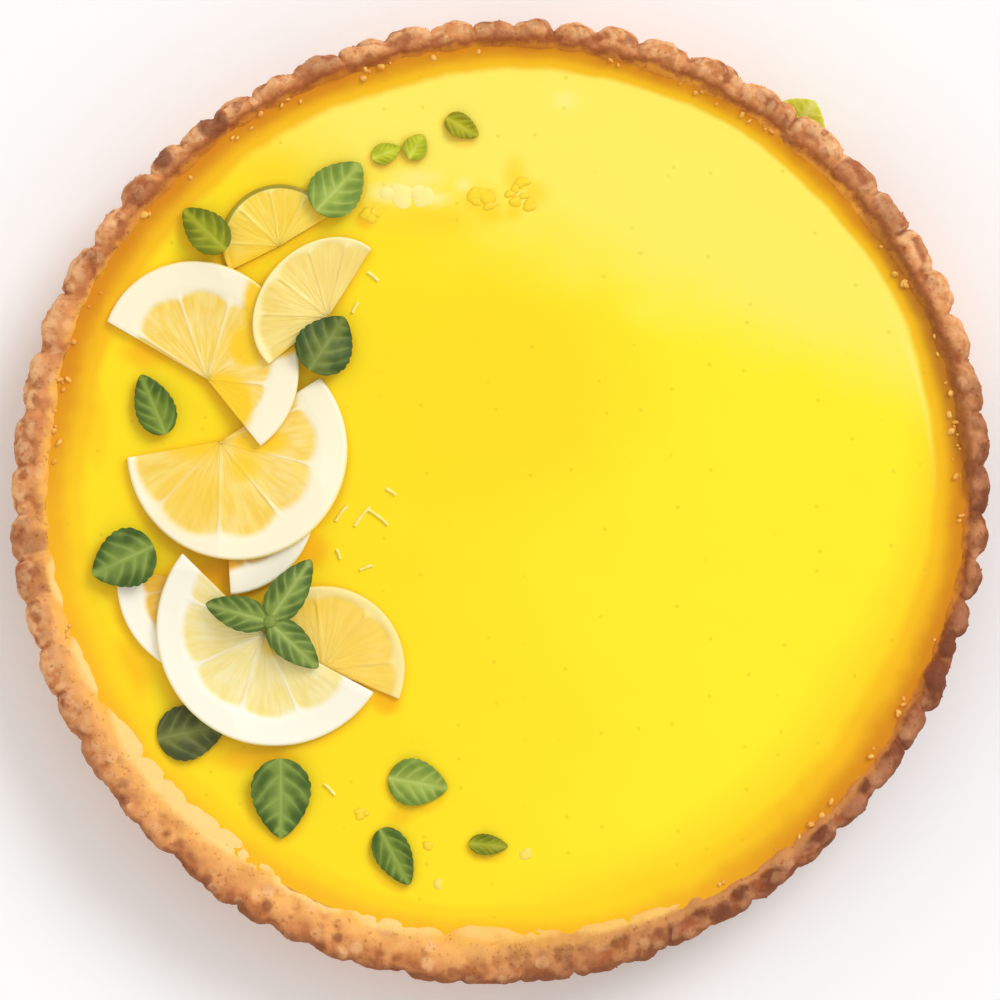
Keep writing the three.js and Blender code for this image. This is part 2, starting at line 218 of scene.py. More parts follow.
# %% Make a tree, and run it
def new_tree(name, sizes):
    """A geometry tree with named inputs. Returns the tree, its inputs as wires and its end node."""
    tree = bpy.data.node_groups.new(name, "GeometryNodeTree")
    tree.interface.new_socket(name="Geometry", in_out="INPUT", socket_type="NodeSocketGeometry")
    for label, kind in sizes.items():
        tree.interface.new_socket(name=label, in_out="INPUT", socket_type="NodeSocket" + kind)
    tree.interface.new_socket(name="Geometry", in_out="OUTPUT", socket_type="NodeSocketGeometry")
    start = tree.nodes.new("NodeGroupInput")
    inputs = {socket.name: Wire(tree, socket) for socket in start.outputs if socket.name}
    return tree, inputs, tree.nodes.new("NodeGroupOutput")


def finish_tree(tree, geometry, material, end):
    """Ends a tree: real mesh instead of instances, smooth shading, and its material."""
    real = node_value(tree, "GeometryNodeRealizeInstances", 0, Geometry=geometry)
    smooth = node_value(tree, "GeometryNodeSetShadeSmooth", 0, Geometry=real)
    painted = node_value(tree, "GeometryNodeSetMaterial", 0, Geometry=smooth, Material=material)
    plug(tree, painted, end.inputs[0])


def grown(piece, tree, values):
    """Runs the tree on a piece with these sizes and keeps the result as its mesh."""
    modifier = piece.modifiers.new(tree.name, "NODES")
    modifier.node_group = tree
    for socket in tree.interface.items_tree:
        if socket.in_out == "INPUT" and socket.name in values:
            modifier[socket.identifier] = values[socket.name]
    evaluated = piece.evaluated_get(bpy.context.evaluated_depsgraph_get())
    mesh = bpy.data.meshes.new_from_object(evaluated)
    piece.modifiers.remove(modifier)
    piece.data = mesh
    print(piece.name, "has", sum(len(face.vertices) - 2 for face in mesh.polygons), "triangles")
    return piece


# %% [markdown]
# ## Meshes from grids
# Most of the tart is a grid of points: round and across, or along and across. A thin thing such as
# a leaf is two grids, one for each face, joined at their borders. Where a grid runs to one point,
# as at a leaf's tip, its points are merged so that the piece is closed.

# %% Build closed pieces
def linked(name, data):
    """A new object in the scene."""
    thing = bpy.data.objects.new(name, data)
    bpy.context.scene.collection.objects.link(thing)
    return thing


def grid_faces(ids):
    """The squares of a grid of point numbers."""
    corners = (ids[:-1, :-1], ids[1:, :-1], ids[1:, 1:], ids[:-1, 1:])
    return np.stack(corners, axis=-1).reshape(-1, 4)


def new_piece(name, points, faces, values, merge=True):
    """A mesh object with a number for each label at each point."""
    mesh = bpy.data.meshes.new(name)
    mesh.from_pydata(points.reshape(-1, 3).tolist(), [], faces.tolist())
    for label, value in values.items():
        kept_values = mesh.attributes.new(label, "FLOAT", "POINT")
        kept_values.data.foreach_set("value", np.ravel(value).astype(np.float32))
    if merge:
        work = bmesh.new()
        work.from_mesh(mesh)
        bmesh.ops.remove_doubles(work, verts=work.verts, dist=1e-6)
        bmesh.ops.dissolve_degenerate(work, dist=1e-7, edges=work.edges)
        bmesh.ops.recalc_face_normals(work, faces=work.faces)
        work.to_mesh(mesh)
        work.free()
    mesh.shade_smooth()
    return linked(name, mesh)


def grid_piece(name, points, values, merge=True):
    """A piece from one grid of points."""
    ids = np.arange(points[..., 0].size).reshape(points.shape[:-1])
    return new_piece(name, points, grid_faces(ids), values, merge)


def thin_piece(name, over, under, values):
    """A closed thin piece between two grids of points, with sharp corners at its borders."""
    rows, columns = over.shape[:2]
    top = np.arange(rows * columns).reshape(rows, columns)
    low = top + rows * columns
    walls = [np.stack([top[:, 0], low[:, 0]]), np.stack([low[:, -1], top[:, -1]]),
             np.stack([low[0], top[0]]), np.stack([top[-1], low[-1]])]
    faces = [grid_faces(top), grid_faces(low)[:, ::-1], *map(grid_faces, walls)]
    values = {label: np.stack([value, value]) for label, value in values.items()}
    piece = new_piece(name, np.stack([over, under]), np.concatenate(faces), values)
    piece.data.set_sharp_from_angle(angle=math.radians(50))
    return piece


def dressed(piece, material):
    """The piece with its material on."""
    piece.data.materials.append(material)
    return piece


# %% [markdown]
# ## Finishes
# Colours are given as screen colours. Shaders work in linear light, so paint() turns them over. A
# finish is a Principled shader whose colour and bump come from noise, cells and the numbers kept on
# the mesh. What is the same all over is set on the shader's own sockets.

# %% Helpers for finishes
def paint(red, green, blue):
    """A screen colour, 0 to 255, as linear light."""
    shares = [part / 255 for part in (red, green, blue)]
    linear = [part / 12.92 if part < 0.04 else ((part + 0.055) / 1.055) ** 2.4 for part in shares]
    return (*linear, 1)


def new_finish(name, roughness, **sockets):
    """A material, and the wires to start its colours from: its tree and each point's place."""
    material = bpy.data.materials.new(name)
    material.use_nodes = True
    tree = material.node_tree
    shader = tree.nodes["Principled BSDF"]
    shader.inputs["Roughness"].default_value = roughness
    for label, value in sockets.items():
        shader.inputs[label.replace("_", " ")].default_value = value
    return material, tree, node_value(tree, "ShaderNodeTexCoord", "Object")


def mixed(tree, share, first, second):
    """The first colour where the share is 0, the second where it is 1."""
    node = tree.nodes.new("ShaderNodeMix")
    node.data_type = "RGBA"
    plug(tree, share, node.inputs[0])
    plug(tree, first, node.inputs[6])
    plug(tree, second, node.inputs[7])
    return Wire(tree, node.outputs[2])


def coated(colour, share, coat):
    """The colour so far with one more coat over it. The share says how much of the coat shows."""
    return mixed(colour.tree, share, colour, coat)


def coloured(tree, colour, height=None, depth=0.0):
    """Joins the colour and a bump of this depth to the shader."""
    shader = tree.nodes["Principled BSDF"]
    plug(tree, colour, shader.inputs["Base Color"])
    if height:
        bump = node_value(tree, "ShaderNodeBump", 0, Height=height, Distance=depth)
        plug(tree, bump, shader.inputs["Normal"])


# %% Helpers for places
def parts_of(tree, place):
    """The x, y and z of a place."""
    split = node_value(tree, "ShaderNodeSeparateXYZ", 0, Vector=place).socket.node
    return [Wire(tree, socket) for socket in split.outputs]


def patch(tree, place, middle, reach, soft):
    """1 inside an oval with this middle and reach, given in metres, with a soft edge."""
    x, y, _ = parts_of(tree, place)
    across = (x - middle[0]) / reach[0]
    along = (y - middle[1]) / reach[1]
    return eased((across * across + along * along).maths("SQRT"), 1 - soft, 1 + soft, 1, 0)


def deepest_shade(x, y):
    """1 at the stretch of the edge where the painted shade is deepest, on the right and a little
    up.
    """
    return eased(x * 0.94 + y * 0.34, 0.108, 0.1125)


# %% [markdown]
# ## Pastry finish
# Baked shortcrust is sandy and golden where it is thin. Painted highlights make it paler where it
# stands proud, and painted shade makes it brown in the hollows and darkest at the back of its edge
# against the filling. This tart baked unevenly, so its right side came out darker than its left.
# The mesh knows its hollows and creases, so they steer the painted shade, and noise breaks it up.
# So many coats are hard to read in one go, so each step below is a function that takes the colour
# so far and lays a coat or two over it.

# %% Read the crust
def read_crust(tree, place):
    """What the coats need to know of a spot: how far out it lies, how deep, and how it baked."""
    spot = SimpleNamespace(tree=tree, place=place)
    spot.x, spot.y, spot.z = parts_of(tree, place)
    for label in ("pit", "crease", "across", "crumble", "knob", "tone", "lip"):
        setattr(spot, label, kept(tree, label))
    spot.wide = noise(tree, place, 6 * mm, 3, 1)
    spot.fine = noise(tree, place, 2.2 * mm, 3, 2)
    spot.outward = spot.across + (spot.wide - 0.5) * 0.5 + (spot.fine - 0.5) * 0.3
    spot.lobe = eased(spot.crease, 0.35, 0.9, 1, 0)
    spot.dark = spot.tone * spot.lobe + (spot.wide - 0.5) * 0.8
    spot.near_top = eased(spot.z, 0.017, 0.025)
    return spot


def read_sides(spot):
    """Which side of the tart a spot is on. Warm is the lower left, where the crust stayed pale."""
    spot.back = eased(spot.x * 0.55 + spot.y * 0.8, -0.03, 0.03)
    spot.front = eased(spot.y, -0.1, -0.03, 1, 0)
    spot.right = eased(spot.x * 0.8 - spot.y * 0.6, 0.05, 0.1)
    spot.warm = eased(spot.x * -0.6 - spot.y * 0.8, 0.05, 0.1)


# %% [markdown]
# The ground is golden. On the right it is overlaid with darker blotches, and painted shade darkens
# the creases between the lobes there. Their outer ends are paler.

# %% Golden ground and dark side
def golden_ground(spot):
    baked = eased(spot.wide, 0.36, 0.62)
    colour = mixed(spot.tree, baked, paint(230, 156, 96), paint(200, 122, 70))
    return coated(colour, eased(spot.outward, 0.2, 0.8, 1, 0) * spot.warm, paint(252, 184, 102))


def dark_side(spot, colour):
    blotch = (eased(spot.wide, 0.42, 0.58) - 0.5) * (spot.near_top * 0.65 + 0.35) + 0.5
    baked = mixed(spot.tree, blotch, paint(180, 116, 80), paint(126, 70, 44))
    colour = coated(colour, spot.right * eased(spot.dark, 0.0, 0.45, 0.6, 1.0), baked)
    # Painted shade in the creases between the lobes on the right.
    crease = eased(spot.crease, 0.3, 0.75) * eased(spot.outward, 0.25, 0.5)
    crease = crease * eased(spot.x, 0.05, 0.1)
    colour = coated(colour, crease * eased(spot.fine, 0.35, 0.6) * 0.6, paint(118, 62, 38))
    pale_end = eased(spot.crease, 0.6, 0.95) * eased(spot.outward, 0.75, 1.0)
    pale_end = pale_end * eased(spot.x, 0.06, 0.1) * spot.near_top
    return coated(colour, pale_end * 0.6, paint(232, 176, 132))


# %% [markdown]
# Shortcrust is made of small lumps, and each one browns in its own way. A cell texture gives every
# lump a random number: the high ones are browned, the low ones stay pale.

# %% Browned and pale nuggets
nugget_size = 3.6 * mm


def nuggets(spot, colour):
    pick = parts_of(spot.tree, cells(spot.tree, spot.place, nugget_size, "Color"))[0]
    away = cells(spot.tree, spot.place, nugget_size) + (spot.fine - 0.5) * 0.5
    inside = eased(away, 0.3, 0.6, 1, 0) * (spot.near_top * 0.7 + 0.3)
    browned = eased(pick, 0.55, 0.8) * inside * eased(spot.outward, 0.2, 0.6)
    colour = coated(colour, browned * (1 - spot.right) * 0.75, paint(152, 86, 52))
    pale = eased(pick, 0.35, 0.12) * inside * (1 - spot.right * 0.6)
    return coated(colour, pale * 0.6, paint(248, 192, 136))


# %% [markdown]
# Lobes that stand proud get a painted highlight. Painted shade darkens the hollows, the creases and
# the outside near the foot of the picture.

# %% Proud lobes with painted highlights, hollows with painted shade
def lobes_and_hollows(spot, colour):
    far_left = eased(spot.x, -0.112, -0.09, 1, 0) * eased(spot.outward, 0.15, 0.45)
    colour = coated(colour, far_left * 0.25, paint(186, 108, 62))
    # Painted highlight on the lobes that stand proud.
    lobe_highlight = eased(spot.outward, 0.35, 0.7) * spot.lobe * (1 - spot.front) * (1 - spot.right)
    colour = coated(colour, lobe_highlight * eased(spot.fine, 0.36, 0.6) * 0.65, paint(248, 196, 142))
    colour = coated(colour, eased(spot.dark, 0.7, 1.0) * (1 - spot.front) * 0.5, paint(150, 86, 58))
    # Painted shade in the hollows of the crumbled surface.
    hollow_shade = eased(spot.pit + (spot.wide - 0.5) * 0.5, 0.5, 0.85)
    hollow_shade = hollow_shade * eased(spot.crumble, 0.5, 0.95, 0.15, 0.7)
    hollow_shade = hollow_shade * eased(spot.outward - spot.warm, -0.5, 0.2, 0.3, 1)
    colour = coated(colour, hollow_shade, paint(166, 88, 46))
    # Painted shade in the outer creases between the lobes.
    crease = eased(spot.crease, 0.5, 1.0) * eased(spot.across, 0.4, 0.9) * (1 - spot.front)
    colour = coated(colour, crease * 0.5, paint(160, 86, 46))
    # Painted shade on the outside near the foot of the picture, where the wall faces away from the
    # light.
    outside = eased(spot.outward, 0.72, 1.0) * eased(spot.z, 0.019, 0.024) * spot.front
    return coated(colour, outside * 0.8, paint(142, 84, 54))


# %% [markdown]
# Against the filling the pastry gets painted shade at the back, deepest on the right a little up,
# and its very edge has soaked up syrup. The soaked edge is golden on the left, amber on the right,
# and wider and duller at the lower right.

# %% Edge against the filling
def soaked_edge(spot, colour):
    # Painted shade at the back, where the inner edge faces away from the light.
    back_shade = eased(spot.outward, 0.26, 0.46, 1, 0) * spot.back * (1 - spot.right * 0.4)
    colour = coated(colour, back_shade * 0.85, paint(160, 84, 36))
    upper_right = eased(spot.x * 0.5 + spot.y * 0.6, 0.077, 0.09)
    amber = mixed(spot.tree, upper_right, paint(218, 138, 46), paint(252, 170, 66))
    amber = coated(amber, spot.front, paint(212, 146, 86))
    amber_wash = mixed(spot.tree, spot.back.maths("MAXIMUM", spot.right), paint(250, 186, 82), amber)
    reach = eased(spot.outward - spot.right * spot.front * 0.14, 0.06, 0.28, 1, 0)
    colour = coated(colour, reach * 0.9, amber_wash)
    # Painted shade, deepest on the right a little up.
    edge_shade = deepest_shade(spot.x, spot.y) * eased(spot.outward, 0.25, 0.5, 1, 0)
    return coated(colour, edge_shade * 0.5, paint(146, 84, 40))


# %% [markdown]
# Last come the dark outside of the right side, fine flecks all over, a painted cream highlight on
# the lip that folds in over the filling, and the knobs that baked very dark.

# %% Flecks, lip and knobs
def last_touches(spot, colour):
    outside = eased(spot.outward, 0.6, 0.95) * eased(spot.x * 0.9 - spot.y * 0.4, 0.085, 0.11)
    colour = coated(colour, outside * 0.35, paint(112, 62, 42))
    flecks = eased(noise(spot.tree, spot.place, 1.3 * mm, 2, 3), 0.6, 0.7)
    colour = coated(colour, flecks * 0.4, paint(136, 70, 36))
    # Painted cream highlight on the lip, which faces the light.
    lip_end = eased(spot.x, -0.04, 0.01)
    folded = spot.across + (spot.fine - 0.5) * 0.2 - spot.lip * 0.3 + lip_end * 0.12
    lip_highlight = mixed(spot.tree, lip_end, paint(254, 213, 132), paint(250, 196, 104))
    colour = coated(colour, eased(folded, -0.24, -0.02, 1, 0) * eased(spot.lip, 0.05, 0.3), lip_highlight)
    knob = eased(spot.knob + (spot.fine - 0.5) * 0.5, 0.1, 0.8)
    return coated(colour, knob * 0.75, paint(128, 70, 48))


# %% Pastry
def pastry_finish():
    material, tree, place = new_finish("baked_shortcrust", 0.82, Specular_IOR_Level=0.2)
    spot = read_crust(tree, place)
    read_sides(spot)
    colour = golden_ground(spot)
    for coats in (dark_side, nuggets, lobes_and_hollows, soaked_edge, last_touches):
        colour = coats(spot, colour)
    coloured(tree, colour, noise(tree, place, 0.5 * mm, 3, 4) + spot.fine * 0.5, 0.2 * mm)
    return material


pastry = pastry_finish()
print("finish:", pastry.name, len(pastry.node_tree.nodes), "nodes")

# %% [markdown]
# ## The fluted case
# The case is one band of pastry: floor, wall and rim. Its cross-section is drawn first as a flat
# strip that knows, for each point, how far it lies across the rim, how high, and how much flute it
# gets. A Geometry Nodes tree then bends the strip round into the tart, presses in sixty-two uneven
# flutes and crumbles the surface. A modelled case could be sculpted, but then nobody could change
# the number of flutes.

# %% Cross-section of the case
# across the rim (0 is the cavity, 1 the outside), height, share of flute, of lift, of crumble, rows
case_section = [
    (0.94, 0, 0.7, 0, 0, 1), (1, 0.5 * mm, 0.7, 0, 0.2, 1), (1, 11 * mm, 0.9, 0, 0.6, 14),
    (1, 21.5 * mm, 1, 0.1, 1, 13), (0.99, 25 * mm, 1, 0.6, 1, 6), (0.84, 27.4 * mm, 0.8, 1, 1, 6),
    (0.55, rim_height, 0.35, 1, 1, 6), (0.24, 27.4 * mm, 0.1, 0.7, 1, 6),
    (0.02, 25.8 * mm, 0, 0.3, 0.7, 5), (0, 23.8 * mm, 0, 0, 0.2, 3),
    (0, floor_thickness, 0, 0, 0, 1),
]
steps_per_flute = 20


def section_rows():
    """The section's columns at every row, with its corners rounded off."""
    rows = [np.array(case_section[0][:5])]
    for before, after in zip(case_section, case_section[1:]):
        for step in range(1, after[5] + 1):
            share = step / after[5]
            rows.append(np.array(before[:5]) * (1 - share) + np.array(after[:5]) * share)
    rows = np.array(rows)
    for _ in range(4):
        rows[3:-2] = (rows[2:-3] + 2 * rows[3:-2] + rows[4:-1]) / 4
    return rows


# %% [markdown]
# Along the lower left the rim folds in over the filling as a lip, in a few long folds, and the
# finish paints a cream highlight on it. The strip is moved inwards there, and keeps how much of the
# lip shows, for the finish.

# %% The pale lip
# from and to in degrees, and how far in millimetres
lip_folds = [(187, 196, 0.3), (197, 209, 0.6), (205, 244, 3), (237, 252, 0.3), (248, 266, 1),
             (261, 281, 2.2), (275, 299, 2.2)]
lip_onset, lip_fade = 0.25, 0.36
lip_height = 24.6 * mm
lip_inner = 0.45
rim_width = 10  # in millimetres, as the folds are


def lip_at(turn):
    """How much of the pale lip shows at each turn, and how far it folds in."""
    degrees = np.degrees(turn)
    shows, folds = turn * 0, turn * 0
    for start, end, reach in lip_folds:
        share = (degrees - start) / (end - start)
        part = np.clip(np.minimum(share / lip_onset, (1 - share) / lip_fade), 0, 1)
        part = part * part * (3 - 2 * part)
        shows, folds = np.maximum(shows, part), np.maximum(folds, part * reach)
    return shows, folds


lip_shows, lip_reaches = lip_at(np.radians(np.arange(360)))
print("lip:", (lip_shows > 0.5).sum(), "degrees round, up to", lip_reaches.max(), "mm inwards")

# %% [markdown]
# The strip lies flat on the ground, with the turn along x and the rows along y. What it will become
# is only in the numbers that it keeps, and so the tree that bends it stays short.

# %% Lay out the strip
crumbs_from = 0.55  # loose crumbs lie where the share of lift is above this


def strip_values(rows, row, turns):
    """The numbers that the strip keeps at each point."""
    labels = ("across", "height", "flute", "lift", "crumble")
    values = {label: rows[row, i] for i, label in enumerate(labels)}
    shows, folds = lip_at(turns)
    on_top = (values["height"] > lip_height) * np.clip(1 - values["across"] / lip_inner, 0, 1)
    values["across"] = values["across"] - folds / rim_width * on_top
    reach = np.ones(len(rows))
    reach[[0, -1]] = 0
    on_rim = rows[row, 3] > crumbs_from
    return values | {"turn": turns, "reach": reach[row], "crumbly": on_rim, "lip": shows}


def case_strip():
    """The flat strip: one point for each step round and each row of the section.

    Its first and last rows are there twice, because one of each is drawn in to the tart's middle.
    """
    rows = section_rows()
    rows = np.concatenate([rows[:1], rows, rows[-1:]])
    turn = np.linspace(0, 2 * math.pi, flute_count * steps_per_flute + 1)
    turns, row = np.meshgrid(turn, np.arange(len(rows)), indexing="ij")
    points = np.stack([turns, row * 0.1, turns * 0], axis=-1)
    return grid_piece("pastry_case_crust", points, strip_values(rows, row, turns), merge=False)


case = case_strip()
print("strip:", len(case.data.vertices), "points")

# %% [markdown]
# ## Bending and fluting
# The tree turns each point of the strip round the tart. A flute is half a circle in plan, squashed
# to its own depth. Its number, mixed up by the golden share, picks how deep it is, how high its
# lobe swells and how dark it baked, so no two neighbours are alike.

# %% Flutes that differ
golden_share = 0.618034
mildest, boldest = 0.8, 1.15
lowest, highest = 0.4, 1.2


def uneven(number):
    """An uneven share from 0 to 1 for each flute, the same every time."""
    return (number * number * golden_share).maths("FRACT")


def flutes_round(turn, size):
    """How far each point bulges on its flute, and the number of that flute."""
    turns = turn * (flute_count / (2 * math.pi)) + waved(turn, flute_waves)
    wrapped = turns.maths("FLOORED_MODULO", size["Flutes"])
    number = wrapped.maths("FLOOR")
    beside = (wrapped - number) * 2 - 1
    return (1 - beside * beside).maths("MAXIMUM", 0).maths("SQRT"), number


# %% Bend the strip
def moved(tree, geometry, **places):
    return node_value(tree, "GeometryNodeSetPosition", 0, Geometry=geometry, **places)


def bent_place(tree, size, bulge, number):
    """Where a point of the strip comes to lie on the fluted case."""
    turn, across, height, flute, lift, reach = [
        kept(tree, name) for name in ("turn", "across", "height", "flute", "lift", "reach")]
    depth = (turn - deepest_flutes).maths("COSINE") * size["Depth change"] + size["Flute depth"]
    taper = (1 - height / filling_level).maths("MAXIMUM", 0)
    crease = flute * depth * (1 - bulge * (uneven(number) * (boldest - mildest) + mildest))
    outer = rim_at(turn) - taper * wall_taper - crease
    inner = cavity_at(turn) - taper * cavity_taper
    radius = (inner + (outer - inner) * across) * reach
    lobe = uneven(number + flute_count) * (highest - lowest) + lowest
    swell = bulge * depth * size["Rim swell"] * lobe
    drift = 1 - across * reach
    return node_value(tree, "ShaderNodeCombineXYZ", 0,
                      X=radius * turn.maths("COSINE") + drift * float(cavity_shift[0]),
                      Y=radius * turn.maths("SINE") + drift * float(cavity_shift[1]),
                      Z=height + lift * (swell - rim_dip))


def stored(tree, geometry, name, value):
    """Keeps a number at each point under a name, for the finish to read."""
    node = tree.nodes.new("GeometryNodeStoreNamedAttribute")
    plug(tree, geometry, node.inputs["Geometry"])
    node.inputs["Name"].default_value = name
    plug(tree, value, node.inputs["Value"])
    return Wire(tree, node.outputs[0])


# %% [markdown]
# ## Crumbling
# Shortcrust breaks into nuggets of a few millimetres, with smaller nubs and grains on them. Cell
# textures of three sizes give that relief: every point sinks or stands out along its normal. The
# depth is kept too, so the finish can paint shade into the hollows.

# %% Crumble the case
crumble_level = 0.34  # crumbs deeper than this sink in, the others stand out
tone_shift = 17  # so that how dark a lobe is has nothing to do with how deep it is


def crumbs_sunk(tree, size):
    """How deep the crumbly surface lies under the smooth one, from 0 to about 1."""
    place = node_value(tree, "GeometryNodeInputPosition")
    lumps = eased(noise(tree, place, 9 * mm, 1, 5), 0.3, 0.7)
    nuggets = cells(tree, place, size["Nugget size"])
    nubs = cells(tree, place, size["Nugget size"] * 0.4)
    grains = noise(tree, place, 1.2 * mm, 2, 6)
    return lumps * 0.25 + nuggets * nuggets * 0.75 + nubs * nubs * 0.2 + grains * 0.2


def case_tree():
    sizes = {"Flutes": "Int", "Flute depth": "Float", "Depth change": "Float", "Rim swell": "Float",
             "Nugget size": "Float", "Crumble depth": "Float", "Material": "Material"}
    tree, size, end = new_tree("Fluted case", sizes)
    bulge, number = flutes_round(kept(tree, "turn"), size)
    bent = moved(tree, size["Geometry"], Position=bent_place(tree, size, bulge, number))
    bent = stored(tree, bent, "crease", 1 - bulge)
    bent = stored(tree, bent, "tone", uneven(number + tone_shift))
    closed = node_value(tree, "GeometryNodeMergeByDistance", 0, Geometry=bent, Distance=1e-6)
    sunk = stored(tree, closed, "pit", crumbs_sunk(tree, size))
    normal = node_value(tree, "GeometryNodeInputNormal")
    depth = (crumble_level - kept(tree, "pit")) * kept(tree, "crumble") * size["Crumble depth"]
    crumbled = moved(tree, sunk, Offset=vector_times(tree, normal, depth))
    finish_tree(tree, crumbled, size["Material"], end)
    return tree


case_sizes = {"Flutes": flute_count, "Flute depth": flute_depth, "Depth change": flute_uneven,
              "Rim swell": rim_swell, "Nugget size": 5 * mm, "Crumble depth": 2 * mm}
grown(case, case_tree(), {**case_sizes, "Material": pastry})

# %% [markdown]
# ## Dark knobs
# Three round nuggets on the rim baked very dark: two at the upper left, one on the right. They're
# raised straight on the finished mesh: numpy reads all its points at once, lifts those near a knob,
# and keeps how far up a knob each point lies, for the finish to brown it.

# %% Raise the dark knobs
# place of each knob and its radius, in millimetres
knobs = [(-71.8, 94.2, 4.4), (-84.4, 85.2, 2.8), (109.6, -44, 4)]
knob_rise = 0.9 * mm
knob_foot = 19 * mm
knob_fade = 4 * mm


def raise_knobs(piece):
    points = np.empty(len(piece.data.vertices) * 3)
    piece.data.vertices.foreach_get("co", points)
    points = points.reshape(-1, 3)
    knob = np.zeros(len(points))
    for x, y, radius in knobs:
        away = np.hypot(points[:, 0] - x * mm, points[:, 1] - y * mm) / (radius * mm)
        knob = np.maximum(knob, np.sqrt(np.clip(1 - away * away, 0, 1)))
    knob *= np.clip((points[:, 2] - knob_foot) / knob_fade, 0, 1)
    points[:, 2] += knob * knob_rise
    piece.data.vertices.foreach_set("co", points.ravel())
    kept_knob = piece.data.attributes.new("knob", "FLOAT", "POINT")
    kept_knob.data.foreach_set("value", knob.astype(np.float32))
    print("knobs:", len(knobs), "raised points:", int((knob > 0).sum()))


raise_knobs(case)

# %% [markdown]
# ## Loose crumbs on the rim
# Crumbs of the same dough stick to the rim. They are all one small lump, scattered over the crust
# and turned and sized at random with a fixed seed.

# %% Scatter the crumbs
def scatter_tree(name):
    """Sets small lumps on a surface, where the surface is marked as crumbly."""
    sizes = {"Density": "Float", "Lump size": "Float", "Smallest": "Float", "Flatness": "Vector",
             "Seed": "Int", "Material": "Material"}
    tree, size, end = new_tree(name, sizes)
    spread = tree.nodes.new("GeometryNodeDistributePointsOnFaces")
    plug(tree, size["Geometry"], spread.inputs["Mesh"])
    plug(tree, size["Density"] * kept(tree, "crumbly"), spread.inputs["Density"])
    plug(tree, size["Seed"], spread.inputs["Seed"])
    lump = node_value(tree, "GeometryNodeMeshIcoSphere", 0, Radius=size["Lump size"],
                      Subdivisions=1)
    turn = tree.nodes.new("FunctionNodeRandomValue")
    turn.data_type = "FLOAT_VECTOR"
    turn.inputs["Max"].default_value = (math.pi, math.pi, math.pi)
    plug(tree, size["Seed"], turn.inputs["Seed"])
    scale = node_value(tree, "FunctionNodeRandomValue", 1, Seed=size["Seed"])
    plug(tree, size["Smallest"], scale.socket.node.inputs[2])
    placed = node_value(tree, "GeometryNodeInstanceOnPoints", 0, Instance=lump,
                        Points=Wire(tree, spread.outputs[0]), Rotation=Wire(tree, turn.outputs[0]),
                        Scale=vector_times(tree, size["Flatness"], scale))
    finish_tree(tree, placed, size["Material"], end)
    return tree


def scattered(name, ground, sizes):
    """A new piece of lumps that lie on another piece."""
    lumps = linked(name, ground.data.copy())
    return grown(lumps, scatter_tree(name), {"Smallest": 0.3, "Seed": 4, **sizes})


crumb_sizes = {"Density": 90000, "Lump size": 0.5 * mm, "Flatness": (1, 0.8, 0.6)}
crumbs = scattered("rim_crumbs", case, {**crumb_sizes, "Material": pastry})

# %% [markdown]
# ## What lies on what
# Each slice and leaf rests on the filling and bends over the slices under it. The solids use one
# rule for that: the height of the pile at a spot is the highest of the filling and each lower
# slice, and a slice carries what is over it a little beyond its own edge. The surfaces repeat the
# rule, so they lie where the solids lie.

# %% Measures of the pile
slice_thickness = 1.9  # in millimetres
slice_steps = 24
rest_slope = 0.21
rest_margin = 2.2 * mm
rest_blend = 2 * mm
rest_clearance = 0.45 * mm
rest_reach = 30 * mm
laid = []  # of each piece its outline, its thickness and how many pieces it lies on


def thickness_of(piece):
    """A slice's thickness in metres. A few slices are cut thinner than the rest."""
    return piece.get("thick", slice_thickness) * mm


# %% Rest pieces on the pile
def distance_outside(outline, spots):
    """Distance from each spot to an outline: 0 inside it."""
    nearest = np.full(len(spots), np.inf)
    inside = np.zeros(len(spots), bool)
    for start, end in zip(outline, np.roll(outline, -1, axis=0)):
        run = end - start
        along = np.clip(((spots - start) @ run) / (run @ run), 0, 1)
        nearest = np.minimum(nearest, np.linalg.norm(start + along[:, None] * run - spots, axis=1))
        if start[1] != end[1]:
            crossing = start[0] + (spots[:, 1] - start[1]) / run[1] * run[0]
            between = (start[1] > spots[:, 1]) != (end[1] > spots[:, 1])
            inside ^= between & (spots[:, 0] < crossing)
    return np.where(inside, 0, nearest)


def pile_height(spots):
    """Height of the pile at each spot: the filling, and then each piece that was laid on it."""
    flat = spots.reshape(-1, 2)
    heights = [np.full(len(flat), filling_level + gap)]
    for outline, thick, under in laid:
        beyond = np.maximum(distance_outside(outline, flat) - rest_margin, 0)
        top = heights[under] + thick + rest_clearance - rest_slope * beyond
        close = np.maximum(rest_blend - np.abs(heights[-1] - top), 0) / rest_blend
        higher = np.maximum(heights[-1], top) + close * close * rest_blend / 4
        heights.append(np.where(beyond < rest_reach, higher, heights[-1]))
    return heights[-1].reshape(spots.shape[:-1])


print("height before anything is laid:", pile_height(np.zeros((1, 2)))[0])


# %% Turn and move flat spots
def turned_to(flat, degrees, middle):
    """Turns flat spots in millimetres and moves them to their middle. The result is in metres."""
    turn = math.radians(degrees)
    x, y = flat[..., 0], flat[..., 1]
    across = x * math.cos(turn) - y * math.sin(turn)
    return (np.stack([across, x * math.sin(turn) + y * math.cos(turn)], axis=-1) + middle) * mm


# %% [markdown]
# ## Lemon finish
# A cut lemon is white pith round pale gold flesh. The flesh is in segments, each in a thin skin,
# and each packed with little sacs that point at the core. The mesh keeps these numbers: how far
# out in the flesh a point lies, on which segment, how far from the core in metres, how near the
# rim, and how clear the slice is there. Where it is clear, the golden filling shows through.

# %% Flesh and its skins
segment_half = 0.36  # half the angle of a segment, in radians
streaks_across, streak_length = 7, 9 * mm
sacs_across, sac_length = 9, 4.5 * mm


